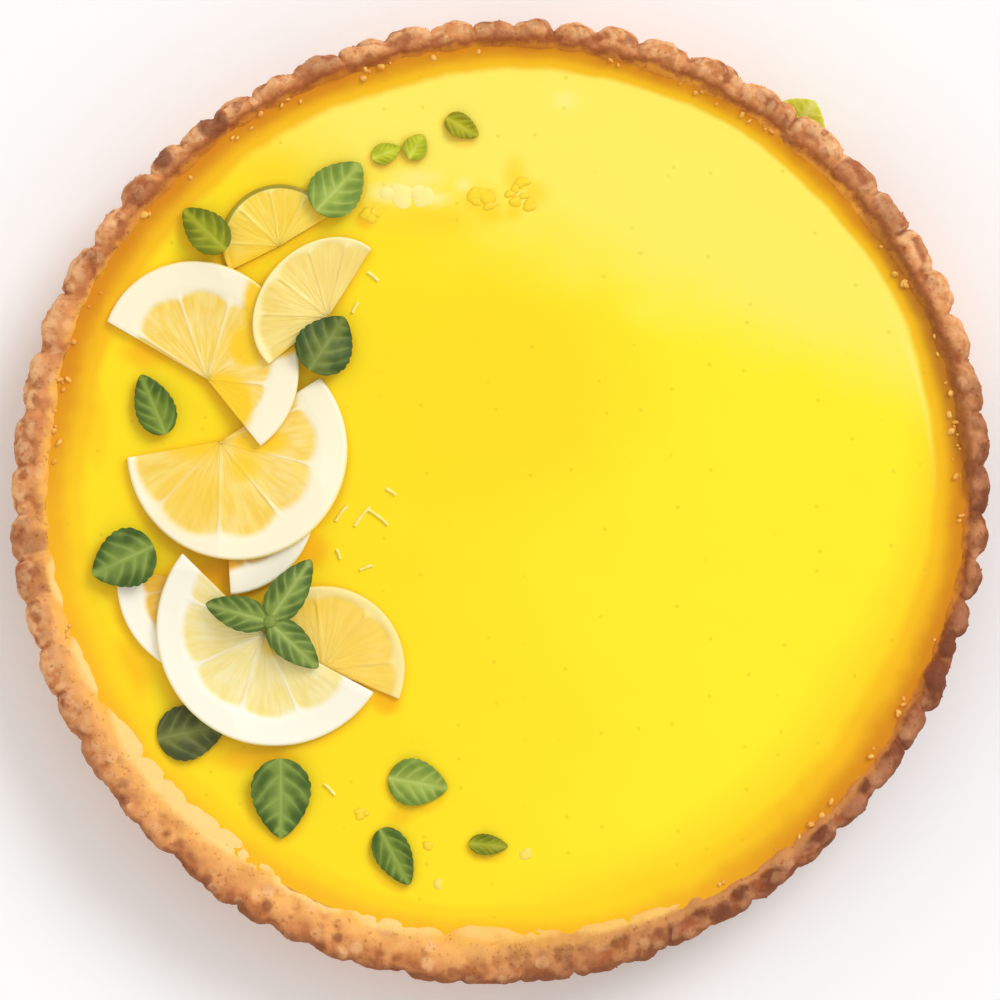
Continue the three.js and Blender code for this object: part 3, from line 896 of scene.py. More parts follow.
def flesh_of(tree, out, lobe, arm, flesh, deep):
    """Colour of the flesh, and the streaks and sacs for its relief."""
    along = node_value(tree, "ShaderNodeCombineXYZ", 0, X=lobe * streaks_across,
                       Y=arm / streak_length, Z=out)
    streaks = noise(tree, along, 1, 3, 1)
    packed = node_value(tree, "ShaderNodeCombineXYZ", 0, X=lobe * sacs_across, Y=arm / sac_length)
    sacs = cells(tree, packed, 1, "Distance", True)
    return mixed(tree, eased(streaks, 0.32, 0.68), flesh, deep), streaks, sacs


def skin_of(lobe, arm, out, streaks):
    """1 on the skin between two segments. It shows best towards the pith."""
    beside = (lobe.maths("FRACT") - 0.5).maths("ABSOLUTE") * 2
    away = (1 - beside) * arm * segment_half + (streaks - 0.5) * 0.6 * mm
    wedge = eased(out, 0.8, 1.0, 0, 0.7 * mm)
    return eased(away - wedge, 0.05 * mm, 0.6 * mm, 1, 0) * eased(out, 0.25, 0.9, 0.35, 1), beside


# %% Lemon
clear_gold = paint(253, 206, 26)


def lemon_finish(name, flesh, deep, pith, rim, skins):
    """A slice's finish. Skins says how plainly the skins show, from 0 to 1."""
    material, tree, place = new_finish(name, 0.32, Specular_IOR_Level=0.35, Coat_Weight=0.15,
                                       Coat_Roughness=0.25)
    labels = ("out", "lobe", "arm", "rim", "clear")
    out, lobe, arm, peel, clear = [kept(tree, label) for label in labels]
    colour, streaks, sacs = flesh_of(tree, out, lobe, arm, flesh, deep)
    spots = noise(tree, place, 7 * mm, 2, 2)
    colour = coated(colour, eased(spots, 0.45, 0.75) * 0.15, pith)
    colour = coated(colour, eased(sacs, 0.1, 0.5, 0.12, 0) * eased(spots, 0.35, 0.6), pith)
    skin, beside = skin_of(lobe, arm, out, streaks)
    colour = coated(colour, skin * skins, pith)
    white = eased(out + beside ** 2 * 0.07 + (spots - 0.5) * 0.05, 0.93, 1.03)
    colour = coated(colour, white, pith)
    colour = coated(colour, eased(clear + (spots - 0.5) * 0.2, 0.2, 0.66), clear_gold)
    colour = coated(colour, eased(peel, 0.3, 0.95), rim)
    relief = (streaks * 0.3 + skin * 0.4 - sacs * 0.35) * (1 - white) + white * 0.5
    coloured(tree, colour, relief, 0.3 * mm)
    return material


# %% [markdown]
# The slices aren't alike. Fresh ones have white pith and plain skins, thin ones let the filling
# shine through, one has painted shade as a wide olive rim, and the two lowest are painted a deeper
# gold as shade from the slices over them.

# %% Six kinds of slice
white_pith = paint(255, 249, 228)
cream_pith = paint(253, 243, 210)
fresh = lemon_finish("fresh_lemon", paint(252, 222, 116), paint(247, 206, 76), cream_pith,
                     paint(255, 238, 160), 0.6)
paler = lemon_finish("pale_lemon", paint(252, 236, 164), paint(247, 224, 132), white_pith,
                     paint(255, 244, 190), 0.75)
thin = lemon_finish("thin_lemon", paint(248, 222, 126), paint(243, 211, 106), paint(255, 238, 168),
                    paint(255, 243, 170), 0.15)
candied = lemon_finish("candied_lemon", paint(252, 216, 92), paint(249, 208, 78),
                       paint(255, 232, 150), paint(255, 222, 134), 0.1)
# Painted shade: a wide olive rim along the slice's arc.
shade_rimmed = lemon_finish("shade_rimmed_lemon", paint(252, 221, 84), paint(247, 206, 56), paint(255, 236, 140),
                     paint(166, 150, 26), 0.35)
# Painted shade: a deeper gold for the slices that lie under the others.
shaded_gold = lemon_finish("shaded_lemon", paint(253, 204, 56), paint(250, 186, 34), white_pith,
                           paint(255, 240, 170), 0.2)
print("lemon finishes:", sum("lemon" in material.name for material in bpy.data.materials))

# %% [markdown]
# ## Lemon slices
# Eight slices overlap along one side, cut in half or in wedges. A slice is a round grid drawn in to
# its core, so the cut edges run straight to the core as a knife leaves them. Its pith may be wide
# on one side and thin on the other, so the pith is listed along the slice, as shares of its radius.

# %% List of the slices, from the lowest to the highest
# middle, radius, where the slice starts and ends in degrees, core from its middle, pith, finish,
# where its skins run in degrees, and its clear places: middle, reach and how clear
slices = [
    {"middle": (-55, 64.2), "radius": 14.5, "ends": (28, 210), "core": (0, -1), "thick": 1.3,
     "pith": (0.03, 0.03), "peel": 0.09, "finish": shade_rimmed, "skins": (10, 60, 100, 140, 180, 220),
     "clear": [((-54, 57), (14, 7), 0.9), ((-42, 70), (5, 9), 0.8), ((-70, 58), (5, 6), 0.8)]},
    {"middle": (-72, -21.2), "radius": 23.5, "ends": (172, 305), "core": (0, 0),
     "pith": (0.24, 0.24), "finish": shaded_gold, "skins": (150, 190, 230, 270, 310), "clear": []},
    {"middle": (-68.5, -1.8), "radius": 22.5, "ends": (274, 372), "core": (0, 0),
     "pith": (0.26, 0.24), "finish": shaded_gold, "skins": (250, 290, 330, 380), "clear": []},
    {"middle": (-44, -42.5), "radius": 20.5, "ends": (-22, 160), "core": (0, 0), "thick": 1.3,
     "pith": (0.09, 0.09), "finish": candied, "skins": (-40, 5, 50, 95, 140, 185),
     "clear": [((-35, -36), (10, 5), 0.3), ((-46, -27), (7, 5), 0.4)]},
    {"middle": (-65.5, 12), "radius": 27.6, "ends": (184, 401), "core": (-4.2, 2.2),
     "pith": (0.06, 0.1, 0.17, 0.22, 0.23, 0.23), "finish": fresh,
     "skins": (172, 217, 261, 305, 348, 391, 435),
     "clear": [((-76, 16), (11, 9), 0.65), ((-76, 0), (14, 12), 0.44), ((-64, 8), (6, 6), 0.56),
               ((-60, 14), (9, 4), 0.7)]},
    {"middle": (-74.8, 34), "radius": 26, "ends": (0, 212), "core": (4.5, -1.1),
     "turn": -54, "squash": 0.93, "pith": (0.37, 0.3, 0.24, 0.24, 0.25), "finish": fresh,
     "skins": (-40, 0, 42, 82, 119, 161, 208, 250),
     "clear": [((-69, 23), (8, 9), 1), ((-59.5, 46), (5, 13), 0.9), ((-58.5, 56), (4, 5), 1),
               ((-63, 38), (5.5, 6), 0.8), ((-75, 26), (7, 5), 0.8), ((-54, 40.5), (6, 5.5), 1)]},
    {"middle": (-44.6, 47.8), "radius": 19.4, "ends": (1, 179), "core": (-0.6, -3),
     "turn": 48.7, "squash": 0.77, "thick": 1.5, "pith": (0.03, 0.04, 0.06), "finish": thin,
     "skins": (-20, 25, 60, 95, 130, 165, 200), "clear": [((-50, 34), (8, 5), 0.6)]},
    {"middle": (-56, -32.5), "radius": 29.5, "ends": (141, 327), "core": (-2.5, -1.5),
     "pith": (0.2, 0.24, 0.24, 0.24, 0.22), "finish": paler,
     "skins": (110, 160, 205, 249, 288, 329, 370), "clear": [((-57, -37), (3, 4), 0.5)]},
]
print("slices:", len(slices))

# %% [markdown]
# A slice's outline follows from its list: a round or squashed rim, turned and moved to its place,
# and a core. Clear places and skins are found from the same numbers.

# %% Outline of a slice
steps_round = 220
slice_rows = np.concatenate([np.linspace(0, 0.7, 22), np.linspace(0.72, 0.94, 14),
                             np.linspace(0.95, 1, 9)])


def rim_of(piece, angle):
    """Spots of a slice's rim, seen from above."""
    circle = [np.cos(angle), np.sin(angle) * piece.get("squash", 1)]
    flat = np.stack(circle, axis=-1) * piece["radius"]
    return turned_to(flat, piece.get("turn", 0), piece["middle"])


def core_of(piece):
    return turned_to(np.array(piece["core"]), piece.get("turn", 0), piece["middle"])


def outline_of(piece):
    angles = np.radians(np.linspace(*piece["ends"], slice_steps + 1))
    return np.vstack([core_of(piece), rim_of(piece, angles)])


def cover(spots, patches):
    """How much the patches cover each spot, each fading out from its middle."""
    most = np.zeros(spots.shape[:-1])
    for middle, reach, share in patches:
        away = (spots / mm - middle) / reach
        most = np.maximum(most, share * np.exp(-((away**2).sum(axis=-1)) ** 1.5))
    return most


# %% [markdown]
# Skins stand a little proud of the flesh, the rim is rounded, and the cut edges are broken by the
# knife. These three shape the top of a slice, whose underside is the pile below it.

# %% Surface of a slice
skin_width = 0.45 * mm
flesh_sunk, skin_proud = 0.3, 0.12  # millimetres below the pith, and above the flesh
rim_band, rim_drop = 0.035, 0.4
cut_drop, cut_reach = 0.25 * mm, 0.4 * mm
thin_peel, peel_fade = 0.02, 0.4


def segments_of(piece, angles, arm):
    """Number of the segment at each angle, as a running count, and where its skins lie."""
    count = np.interp(angles, piece["skins"], np.arange(len(piece["skins"])))
    lobe = np.repeat(count[:, None], len(slice_rows), axis=1)
    beside = 1 - np.abs(lobe % 1 - 0.5) * 2
    return lobe, np.exp(-((beside * arm * segment_half / skin_width) ** 2))


def rounding_of(piece, angles, arm):
    """How far the slice's edges are rounded down."""
    first, last = piece["ends"]
    border = np.maximum(slice_rows[None] - 1 + rim_band, 0) / rim_band + angles[:, None] * 0
    from_cut = np.radians(np.minimum(angles - first, last - angles))[:, None] * arm
    bend = 1 - np.sqrt(np.maximum(1 - border**2, 0))
    return rim_drop * thickness_of(piece) * bend + cut_drop * np.exp(-from_cut / cut_reach)


def rim_shows_on(piece, angles):
    """1 on the peel, which thins out towards the ends of a slice."""
    peel = piece.get("peel", thin_peel)
    shows = np.clip((slice_rows[None] - 1 + peel) / (peel_fade * peel), 0, 1)
    return shows * np.sin(math.pi * np.linspace(0.04, 0.96, len(angles)))[:, None] ** 0.5


# %% Lay a slice
def lay_slice(name, piece):
    """The surface of one slice on the pile as it is now."""
    angles = np.linspace(*piece["ends"], steps_round + 1)
    core = core_of(piece)
    rim = rim_of(piece, np.radians(angles))
    spots = core + (rim - core)[:, None] * slice_rows[None, :, None]
    arm = np.linalg.norm(spots - core, axis=-1)
    share = np.linspace(0, 1, len(angles))
    pith = np.interp(share, np.linspace(0, 1, len(piece["pith"])), piece["pith"])
    out = slice_rows[None] / (1 - pith[:, None])
    lobe, skin = segments_of(piece, angles, arm)
    white = np.clip((out - 0.96) / 0.08, 0, 1)
    sunk = (flesh_sunk - skin_proud * skin) * mm * (1 - white)
    under = pile_height(spots)
    over = under + thickness_of(piece) - sunk - rounding_of(piece, angles, arm)
    place = [np.concatenate([spots, height[..., None]], axis=-1) for height in (over, under)]
    values = {"out": out, "lobe": lobe, "arm": arm, "rim": rim_shows_on(piece, angles)}
    made = thin_piece(name, *place, {**values, "clear": cover(spots, piece["clear"])})
    return dressed(made, piece["finish"])


# %% [markdown]
# ## Mint finish
# A mint leaf is quilted: the veins lie in grooves and the leaf swells between them. Veins are
# paler than the leaf, and its edge is deeper. Each leaf has its own green.

# %% Mint
def mint_finish(name, light, deep, vein, **sockets):
    """Light in the middle, deep towards the edge, with the veins as fine pale lines."""
    material, tree, place = new_finish(name, 0.5, Specular_IOR_Level=0.22, **sockets)
    groove, side = kept(tree, "groove"), kept(tree, "side")
    mottle = noise(tree, place, 5 * mm, 2, 1)
    shade = side.maths("ABSOLUTE") * 0.6 + mottle - groove * 0.3
    colour = mixed(tree, eased(shade, 0.35, 1.0), light, deep)
    colour = coated(colour, kept(tree, "rib") * 0.55, vein)
    coloured(tree, colour, noise(tree, place, 0.9 * mm, 2, 2), 0.08 * mm)
    return material


print("finishes:", len(bpy.data.materials))

# %% [markdown]
# ## Mint leaves
# A leaf is an oval with a point, toothed along its edge, folded a little along its middle vein and
# curled at its tip. It could be cut from a photo texture, but then it would be flat from the side.
# Here the quilting is real relief, so it catches the light from any direction.

# %% Shape of a leaf
leaf_thickness = 0.6 * mm
leaf_fold = 0.9 * mm
leaf_wave = 0.25 * mm
leaf_wavelength = 0.7
leaf_wave_start = 2.4
leaf_curl = 0.22
leaf_curl_from = 0.6
leaf_veins = 4.5
rib_valley, rib_line = 1.7, 0.75  # half widths in millimetres
vein_line = 0.26
tooth_depth = 0.055
vein_shift = 0.37
quilting = 0.34 * mm

along = np.linspace(0, 1, 97)[:, None]
beside = np.sin(np.linspace(-math.pi / 2, math.pi / 2, 51))[None, :]


def leaf_breadth(share):
    return np.maximum(np.sin(math.pi * share**0.74), 0) ** 0.66


def quilted(side, width, shift=0.0):
    """How far the leaf swells between its veins, and how plainly the veins show."""
    bow = 0.22 * np.abs(side) + 0.16 * side**2
    uneven_veins = along + 0.03 * np.sin(9 * along + 2 * np.sign(side) + shift)
    vein = np.sqrt(np.sin(math.pi * leaf_veins * (uneven_veins - bow + shift)) ** 2 + 0.03)
    off_rib = 1 - np.exp(-((side * width / rib_valley) ** 2))
    swell = vein * off_rib * (1 - np.abs(beside) ** 4 * 0.7)
    rib = np.exp(-((side * width / rib_line) ** 2)) * (1 - along**3)
    lines = np.exp(-((vein / vein_line) ** 2)) * 0.8 * (1 - np.abs(beside) ** 3)
    return swell, np.maximum(rib, lines)


# %% A leaf between its two faces
def leaf_surface(name, leaf, heights, teeth=8, shift=0.0):
    """A leaf whose underside is at the heights that a rule gives for its spots."""
    side = beside * leaf_breadth(along)
    tooth = np.abs(np.sin(math.pi * teeth * (along + 0.02) ** 1.1)) ** 0.7
    toothed = side * (1 - tooth_depth * (1 - tooth) * np.abs(beside) ** 3)
    onward = (along - 0.5) * leaf["length"] + toothed * 0
    flat = np.stack([onward, toothed * leaf["width"] / 2], axis=-1)
    spots = turned_to(flat, leaf["heading"], leaf["middle"])
    swell, rib = quilted(side, leaf["width"], shift)
    under = heights(spots, along, side)
    over = under + leaf_thickness * (1 - 0.55 * np.abs(beside) ** 6) + quilting * (swell - 0.6)
    under = under + quilting * 0.4 * (swell - 0.6)
    points = [np.concatenate([spots, height[..., None]], axis=-1) for height in (over, under)]
    return thin_piece(name, *points, {"groove": 1 - swell, "rib": rib, "side": beside + along * 0})


def lay_leaf(name, leaf, number):
    """A leaf on the pile, folded along its rib and curled up at its tip."""
    def heights(spots, share, side):
        phase = 2 * math.pi * share / leaf_wavelength + leaf_wave_start * number + side
        wave = leaf_wave * (1 + np.sin(phase))
        curl = leaf_curl * np.maximum(share - leaf_curl_from, 0) ** 2 * leaf["length"] * mm
        return pile_height(spots) + leaf_fold * side**2 + wave + curl

    made = leaf_surface(name, leaf, heights, shift=vein_shift * number)
    return dressed(made, mint_finish(name + "_green", *leaf["greens"]))


# %% [markdown]
# ## Laying the pile
# The leaves are listed with their place, heading, size and greens. The sixth leaf is tucked in
# under the last slice, so it is laid first and lifts that slice a little.

# %% Greens
light_green = (paint(160, 178, 74), paint(110, 136, 46), paint(202, 214, 122))
olive_green = (paint(156, 158, 24), paint(106, 114, 12), paint(190, 192, 66))
mid_green = (paint(124, 146, 50), paint(72, 96, 28), paint(172, 190, 92))
dark_green = (paint(130, 152, 64), paint(68, 94, 32), paint(174, 192, 104))
shade_green = (paint(116, 128, 54), paint(60, 82, 30), paint(148, 160, 84))
golden_green = (paint(182, 178, 22), paint(142, 138, 10), paint(208, 202, 74))
dull_green = (paint(114, 120, 56), paint(70, 78, 38), paint(144, 150, 84))
lime_green = (paint(198, 202, 40), paint(158, 168, 26), paint(220, 222, 96))
yellow_green = (paint(228, 232, 134), paint(200, 210, 92), paint(240, 240, 164))
print("light green in linear light:", light_green[0])

# %% List of the leaves
# middle, heading of the tip in degrees, length, width, greens
leaves = [
    ((-40.2, 77.8), 48, 16.4, 13.4, light_green), ((-73.6, 67.2), 136, 15, 10.4, olive_green),
    ((-43, 38.5), 57, 16, 14.6, shade_green), ((-86.4, 23.4), 113, 16.2, 10.2, mid_green),
    ((-93.8, -15.6), 205, 17, 15.2, dark_green), ((-76.8, -58.4), 12, 17.4, 14, dull_green),
    ((-54.4, -75), 270, 20, 15.2, dark_green), ((-20.2, -71.2), -10, 15, 12, light_green),
    ((-26, -89.6), -62, 15.8, 9.4, mid_green), ((-2.6, -86.6), -5, 9.8, 5.4, olive_green),
    ((-9.2, 93.2), -30, 9.4, 6.2, golden_green), ((-20.8, 88.2), 60, 7, 6.4, lime_green),
    ((-28.2, 86.6), 20, 7.6, 5.4, lime_green),
]
leaves = [dict(zip(("middle", "heading", "length", "width", "greens"), row)) for row in leaves]
print("leaves:", len(leaves))

# %% Lay slices and leaves
tucked = 5
tucked_lift = 2.6 * mm
pieces = {}


def outline_of_leaf(leaf):
    angle = np.linspace(0, 2 * math.pi, slice_steps, endpoint=False)
    oval = [np.cos(angle) * leaf["length"] / 2, np.sin(angle) * leaf["width"] / 2]
    flat = np.stack(oval, axis=-1)
    return turned_to(flat, leaf["heading"], leaf["middle"])


pieces[f"mint_leaf_{tucked + 1}"] = lay_leaf("tucked_mint_leaf", leaves[tucked], tucked)
for number, piece in enumerate(slices, 1):
    if number == len(slices):
        laid.append((outline_of_leaf(leaves[tucked]), tucked_lift, 0))
    pieces[f"lemon_slice_{number}"] = lay_slice(f"cut_lemon_{number}", piece)
    laid.append((outline_of(piece), thickness_of(piece), len(laid)))
for number, leaf in enumerate(leaves):
    if number != tucked:
        pieces[f"mint_leaf_{number + 1}"] = lay_leaf(f"fresh_mint_leaf_{number + 1}", leaf, number)
pile_top = max(vertex.co.z for piece in pieces.values() for vertex in piece.data.vertices)
print("laid:", len(pieces), "pieces, up to", pile_top)

# %% [markdown]
# ## The sprig
# Three young leaves spring from one bud over the last slice. They arch up from the bud, so they
# throw a shadow, and they share one mesh with the bud as one growing thing.

# %% Grow the sprig
# in millimetres: the bud, and the tip and width of each young leaf
bud = {"middle": (-57.2, -31), "radius": 1.9, "height": 1.7}
sprig_lift, sprig_arch, sprig_rise = 0.9 * mm, 1.6 * mm, 0.15
sprig_tips = [((-73, -26.5), 8.8), ((-46.8, -15.5), 9.6), ((-45, -42.5), 9)]


def arched(spots, share, side):
    """The rule for the height of a leaf that springs from the bud."""
    arch = sprig_lift + sprig_arch * np.sin(math.pi * (sprig_rise + (1 - sprig_rise) * share))
    return pile_height(spots) + arch + leaf_fold * side**2


def bud_piece():
    """The bud: a small ball, wrapped in two tiny leaves that show as a crease."""
    turn = np.linspace(0, 2 * math.pi, 49)[:, None]
    rise = np.linspace(0, math.pi, 25)[None, :]
    middle = np.array(bud["middle"])
    radius = bud["radius"] * np.sin(rise) * (1 - 0.12 * np.cos(turn * 2) ** 8)
    x, y = middle[0] + radius * np.cos(turn), middle[1] + radius * np.sin(turn)
    height = pile_height(middle[None] * mm)[0] + bud["height"] * mm * (1 - np.cos(rise)) + turn * 0
    groove = np.abs(np.cos(turn)) ** 6 + rise * 0
    values = {"groove": groove, "rib": groove * 0, "side": groove * 0}
    return grid_piece("bud", np.stack([x * mm, y * mm, height], axis=-1), values)


def joined(name, parts):
    """Joins pieces into one object."""
    whole = bmesh.new()
    for part in parts:
        whole.from_mesh(part.data)
    mesh = parts[0].data
    whole.to_mesh(mesh)
    whole.free()
    for part in parts[1:]:
        bpy.data.objects.remove(part)
    parts[0].name = name
    return parts[0]


def grow_sprig():
    parts = []
    for tip, width in sprig_tips:
        start, end = np.array(bud["middle"]), np.array(tip)
        run = end - start
        leaf = {"middle": (start + end) / 2, "heading": math.degrees(math.atan2(run[1], run[0])),
                "length": np.linalg.norm(run), "width": width}
        parts.append(leaf_surface("sprig_leaf", leaf, arched, teeth=6))
    return joined("fresh_mint_sprig", [*parts, bud_piece()])


sprig_green = mint_finish("sprig_green", paint(134, 154, 68), paint(74, 100, 34),
                          paint(186, 204, 116))
pieces["mint_sprig"] = dressed(grow_sprig(), sprig_green)
print("sprig:", len(pieces["mint_sprig"].data.polygons), "faces")

# %% [markdown]
# ## The leaf on the wall
# One more leaf clings upright to the outside of the case at the back. It uses the same shape as the
# others, but its length goes up the wall and its width follows the curve of the rim.

# %% Hang the leaf on the wall
# the angle in degrees, the rest in millimetres
wall_leaf = {"angle": 51.5, "length": 12, "width": 13, "foot": 11.5, "lean": 3.1}


def hang_leaf():
    side = beside * leaf_breadth(along)
    angle = math.radians(wall_leaf["angle"]) - side * wall_leaf["width"] * mm / 2 / rim_radius
    height = (wall_leaf["foot"] + along * wall_leaf["length"]) * mm + side * 0
    wall = rim_at(angle) - wall_taper * np.maximum(1 - height / filling_level, 0)
    reach = wall + gap + wall_leaf["lean"] * mm * along**2
    swell, rib = quilted(side, wall_leaf["width"])
    thick = leaf_thickness * (0.85 - 0.4 * np.abs(beside) ** 6) + 0.25 * mm * (swell - 0.6)

    def on_wall(out):
        return np.stack([np.cos(angle) * out, np.sin(angle) * out, height], axis=-1)

    return thin_piece("wall_mint_leaf", on_wall(reach + thick), on_wall(reach),
                      {"groove": 1 - swell, "rib": rib, "side": beside + along * 0})


wall_green = mint_finish("wall_leaf_green", *yellow_green, Subsurface_Weight=0.9,
                         Subsurface_Scale=3 * mm, Subsurface_Radius=(0.8, 1, 0.5))
pieces["mint_leaf_14"] = dressed(hang_leaf(), wall_green)
print("wall leaf:", len(pieces["mint_leaf_14"].data.polygons), "faces")

# %% [markdown]
# ## Filling finish
# Baked lemon filling is a smooth bright yellow with a soft shine, deeper in the middle, and a
# painted sheen makes it paler at the top. It turns amber where it meets the hot case, brown on the
# right and golden at the lower left, and painted shade darkens that edge where the case shades it
# most. Painted shadows of the slices and leaves lie amber beside them, a painted highlight gleams
# on the edge at the right, and burst bubbles leave a few tiny pores with painted shade in them. As
# with the pastry, each step lays its own coats.

# %% Yellows of the filling
def yellow_ground(tree, place, x, y):
    wander = (noise(tree, place, 30 * mm, 3, 1) - 0.5) * 60 * mm
    colour = mixed(tree, eased(x + wander, -0.05, 0.07), paint(255, 224, 26), paint(255, 237, 38))
    middle = patch(tree, place, (0.002, 0.028), (0.03, 0.026), 0.6)
    colour = coated(colour, middle * 0.7, paint(255, 218, 24))
    # Painted sheen: paler towards the top, where a soft reflection would lie.
    painted_sheen = eased(x * 0.35 + y * 0.94 + wander * 0.5, 0.05, 0.08)
    colour = coated(colour, painted_sheen * 0.85, paint(254, 238, 104))
    colour = coated(colour, kept(tree, "golden") * 0.75, paint(252, 212, 22))
    return coated(colour, kept(tree, "pale") * 0.8, paint(255, 243, 158))


# %% Painted shadows, the amber edge and a painted highlight
def shadows_edge_and_gleam(tree, place, x, y, colour):
    streaks = noise(tree, place, 7 * mm, 4, 2)
    painted_shadow = kept(tree, "painted_shadow") + (streaks - 0.5) * 0.3
    # Painted shadow of the slices and leaves, in amber.
    colour = coated(colour, eased(painted_shadow, 0.05, 1.0) * 0.9, paint(251, 182, 10))
    amber = kept(tree, "amber")
    band = amber + (streaks - 0.5) * 0.35
    mild = eased(x * 0.5 + y * 0.87, -0.08, -0.02, 1, 0)
    inner = mixed(tree, mild, paint(248, 190, 18), paint(254, 213, 22))
    outer = mixed(tree, mild, paint(216, 134, 14), paint(244, 180, 20))
    # Painted shade where the case shades the edge most, on the right a little up.
    outer = coated(outer, deepest_shade(x, y), paint(186, 114, 24))
    tint = eased(amber, -1.2, 0.4) * eased(x * 0.77 - y * 0.64, 0.055, 0.09)
    colour = coated(colour, tint * 0.75, paint(252, 204, 18))
    colour = coated(colour, eased(band, 0.02, 0.4), inner)
    colour = coated(colour, eased(band, 0.4, 1.0) * 0.95, outer)
    # Painted highlight on the edge at the right.
    return coated(colour, kept(tree, "painted_gleam") * 0.5, paint(255, 242, 130))


# %% Filling
pore_spacing = 9 * mm


def filling_finish():
    material, tree, place = new_finish("set_lemon_filling", 0.34, Specular_IOR_Level=0.2)
    x, y, _ = parts_of(tree, place)
    colour = shadows_edge_and_gleam(tree, place, x, y, yellow_ground(tree, place, x, y))
    spot = cells(tree, place, pore_spacing, "Distance", True)
    pick = parts_of(tree, cells(tree, place, pore_spacing, "Color", True))[0]
    pores = eased(spot, 0.02, 0.085, 1, 0) * eased(pick, 0.5, 0.9)
    # The pores are painted darker, as shade in their dimples.
    colour = coated(colour, pores * 0.35, paint(214, 186, 16))
    coloured(tree, colour, noise(tree, place, 24 * mm, 1, 3) * 2 - pores * 0.1, 0.5 * mm)
    return material


filling_yellow = filling_finish()
print("finish:", filling_yellow.name, len(filling_yellow.node_tree.nodes), "nodes")

# %% [markdown]
# ## The filling
# The filling is a full disc down to the floor of the case. It climbs a little where it touched the
# case, and here it reaches right into the crumbly wall, so that no dark gap shows.

# %% Painted shadows and smears
# middle, reach and strength of painted shadows, of golden places and of pale smears
painted_shadows = [((-87, 37), (9, 5), 0.8), ((-48, -13), (6, 6), 0.9), ((-69, -18), (8, 5), 0.9),
          ((-28, -50.5), (4, 4), 1), ((-61, -65), (13, 4), 0.8), ((-93, -43), (8, 10), 0.7),
          ((-25, -79.5), (4, 3), 0.6), ((-50, 37), (5, 4), 0.8), ((-33.5, 70), (3, 3), 0.8),
          ((-101, 18), (4, 12), 0.5)]
golden_places = [((-4.6, 74), (5, 4), 1), ((4, 81), (3, 5), 0.9), ((8.6, 76.5), (3.6, 3.4), 0.9),
                 ((3.5, 71.8), (2.4, 2.2), 1), ((-2.3, 71), (4, 2), 1), ((-29.8, 74), (3, 2), 1),
                 ((-18, 70), (13, 4.5), 0.8), ((-58, 84), (8, 5), 0.5)]
pale_places = [((-27.6, 76.6), (5, 2.4), 1), ((-17, 75.2), (4.4, 1.6), 1),
               ((-20.5, 80.2), (6, 2.6), 0.6), ((-9, 78.6), (2, 1.6), 0.7),
               ((-1.8, 74.2), (1, 0.9), 1), ((5.2, 75.2), (1.3, 1.2), 0.9),
               ((16.5, 100), (3, 2.4), 0.5)]
slice_shadow_reach, leaf_shadow_reach = 2.2 * mm, 1.1 * mm
shadow_drift = np.array([0.9, 1.1]) * mm


def amber_wash(spots):
    """How much painted shadow of the slices and leaves lies on each spot, strongest at their lower
    left.
    """
    # The painted shadows are shifted to the lower left, away from the light.
    flat = (spots + shadow_drift).reshape(-1, 2)
    shadow = cover(spots, painted_shadows).reshape(-1)
    outlines = [(outline_of(piece), slice_shadow_reach) for piece in slices]
    for outline, reach in outlines + [(outline_of_leaf(leaf), leaf_shadow_reach) for leaf in leaves]:
        shadow = np.maximum(shadow, 0.5 * np.exp(-((distance_outside(outline, flat) / reach) ** 2)))
    return shadow.reshape(spots.shape[:-1])


# %% [markdown]
# The filling's grid runs from the middle of its foot, out and up the wall, and back over the top.
# Its rows are close together near the wall, where the amber edge, the climb and the crumbs are.

# %% Profile of the filling
filling_climb = 0.8 * mm
climb_reach = 1.7 * mm
into_wall = 1.5 * mm
into_wall_reach = 0.6 * mm
shoulder = 1 * mm
steps_poured = 560
inset_rows = np.concatenate([np.linspace(0, 3, 14), np.linspace(3.4, 13, 20)]) * mm
radius_rows = np.linspace(0.99, 0, 66)
foot_rows = 3


def filling_profile(turn):
    """Radius, height and distance from the wall of each point."""
    wall = cavity_at(turn) - gap
    top = np.concatenate([wall - inset_rows, (wall - inset_rows[-1]) * radius_rows], axis=1)
    inset = wall - top
    foot = floor_thickness + gap
    lower = wall - cavity_taper * (1 - foot / filling_level)
    over = filling_level + filling_climb * np.exp(-inset / climb_reach)
    level = wall * 0
    radius = [lower * 0, lower, wall, top + into_wall * np.exp(-inset / into_wall_reach)]
    height = [level + foot, level + foot, level + filling_level - shoulder, over]
    inset = np.concatenate([np.zeros((len(turn), foot_rows)), inset], axis=1)
    return np.concatenate(radius, axis=1), np.concatenate(height, axis=1), inset


print("rows of the filling:", filling_profile(np.zeros((1, 1)))[0].size)

# %% [markdown]
# Near the wall the filling keeps three more numbers: how amber it is, where a painted highlight
# gleams on its edge, and where crumbs may fall. Sines of three lengths make the crumbs come in
# bunches.

# %% Marks near the wall
# width of the amber edge in millimetres, at these turns in degrees
amber_turns = (0, 30, 65, 95, 135, 170, 225, 255, 285, 330, 360)
amber_widths = (8, 4.4, 4.2, 6.4, 8.4, 10.5, 9.5, 7.5, 10, 12.5, 8)
# where the painted highlight on the edge lies
gleam_turn, gleam_spread = math.radians(16), 0.2
gleam_inset, gleam_width = 6.2 * mm, 0.6 * mm
crumb_reach = 1.1 * mm


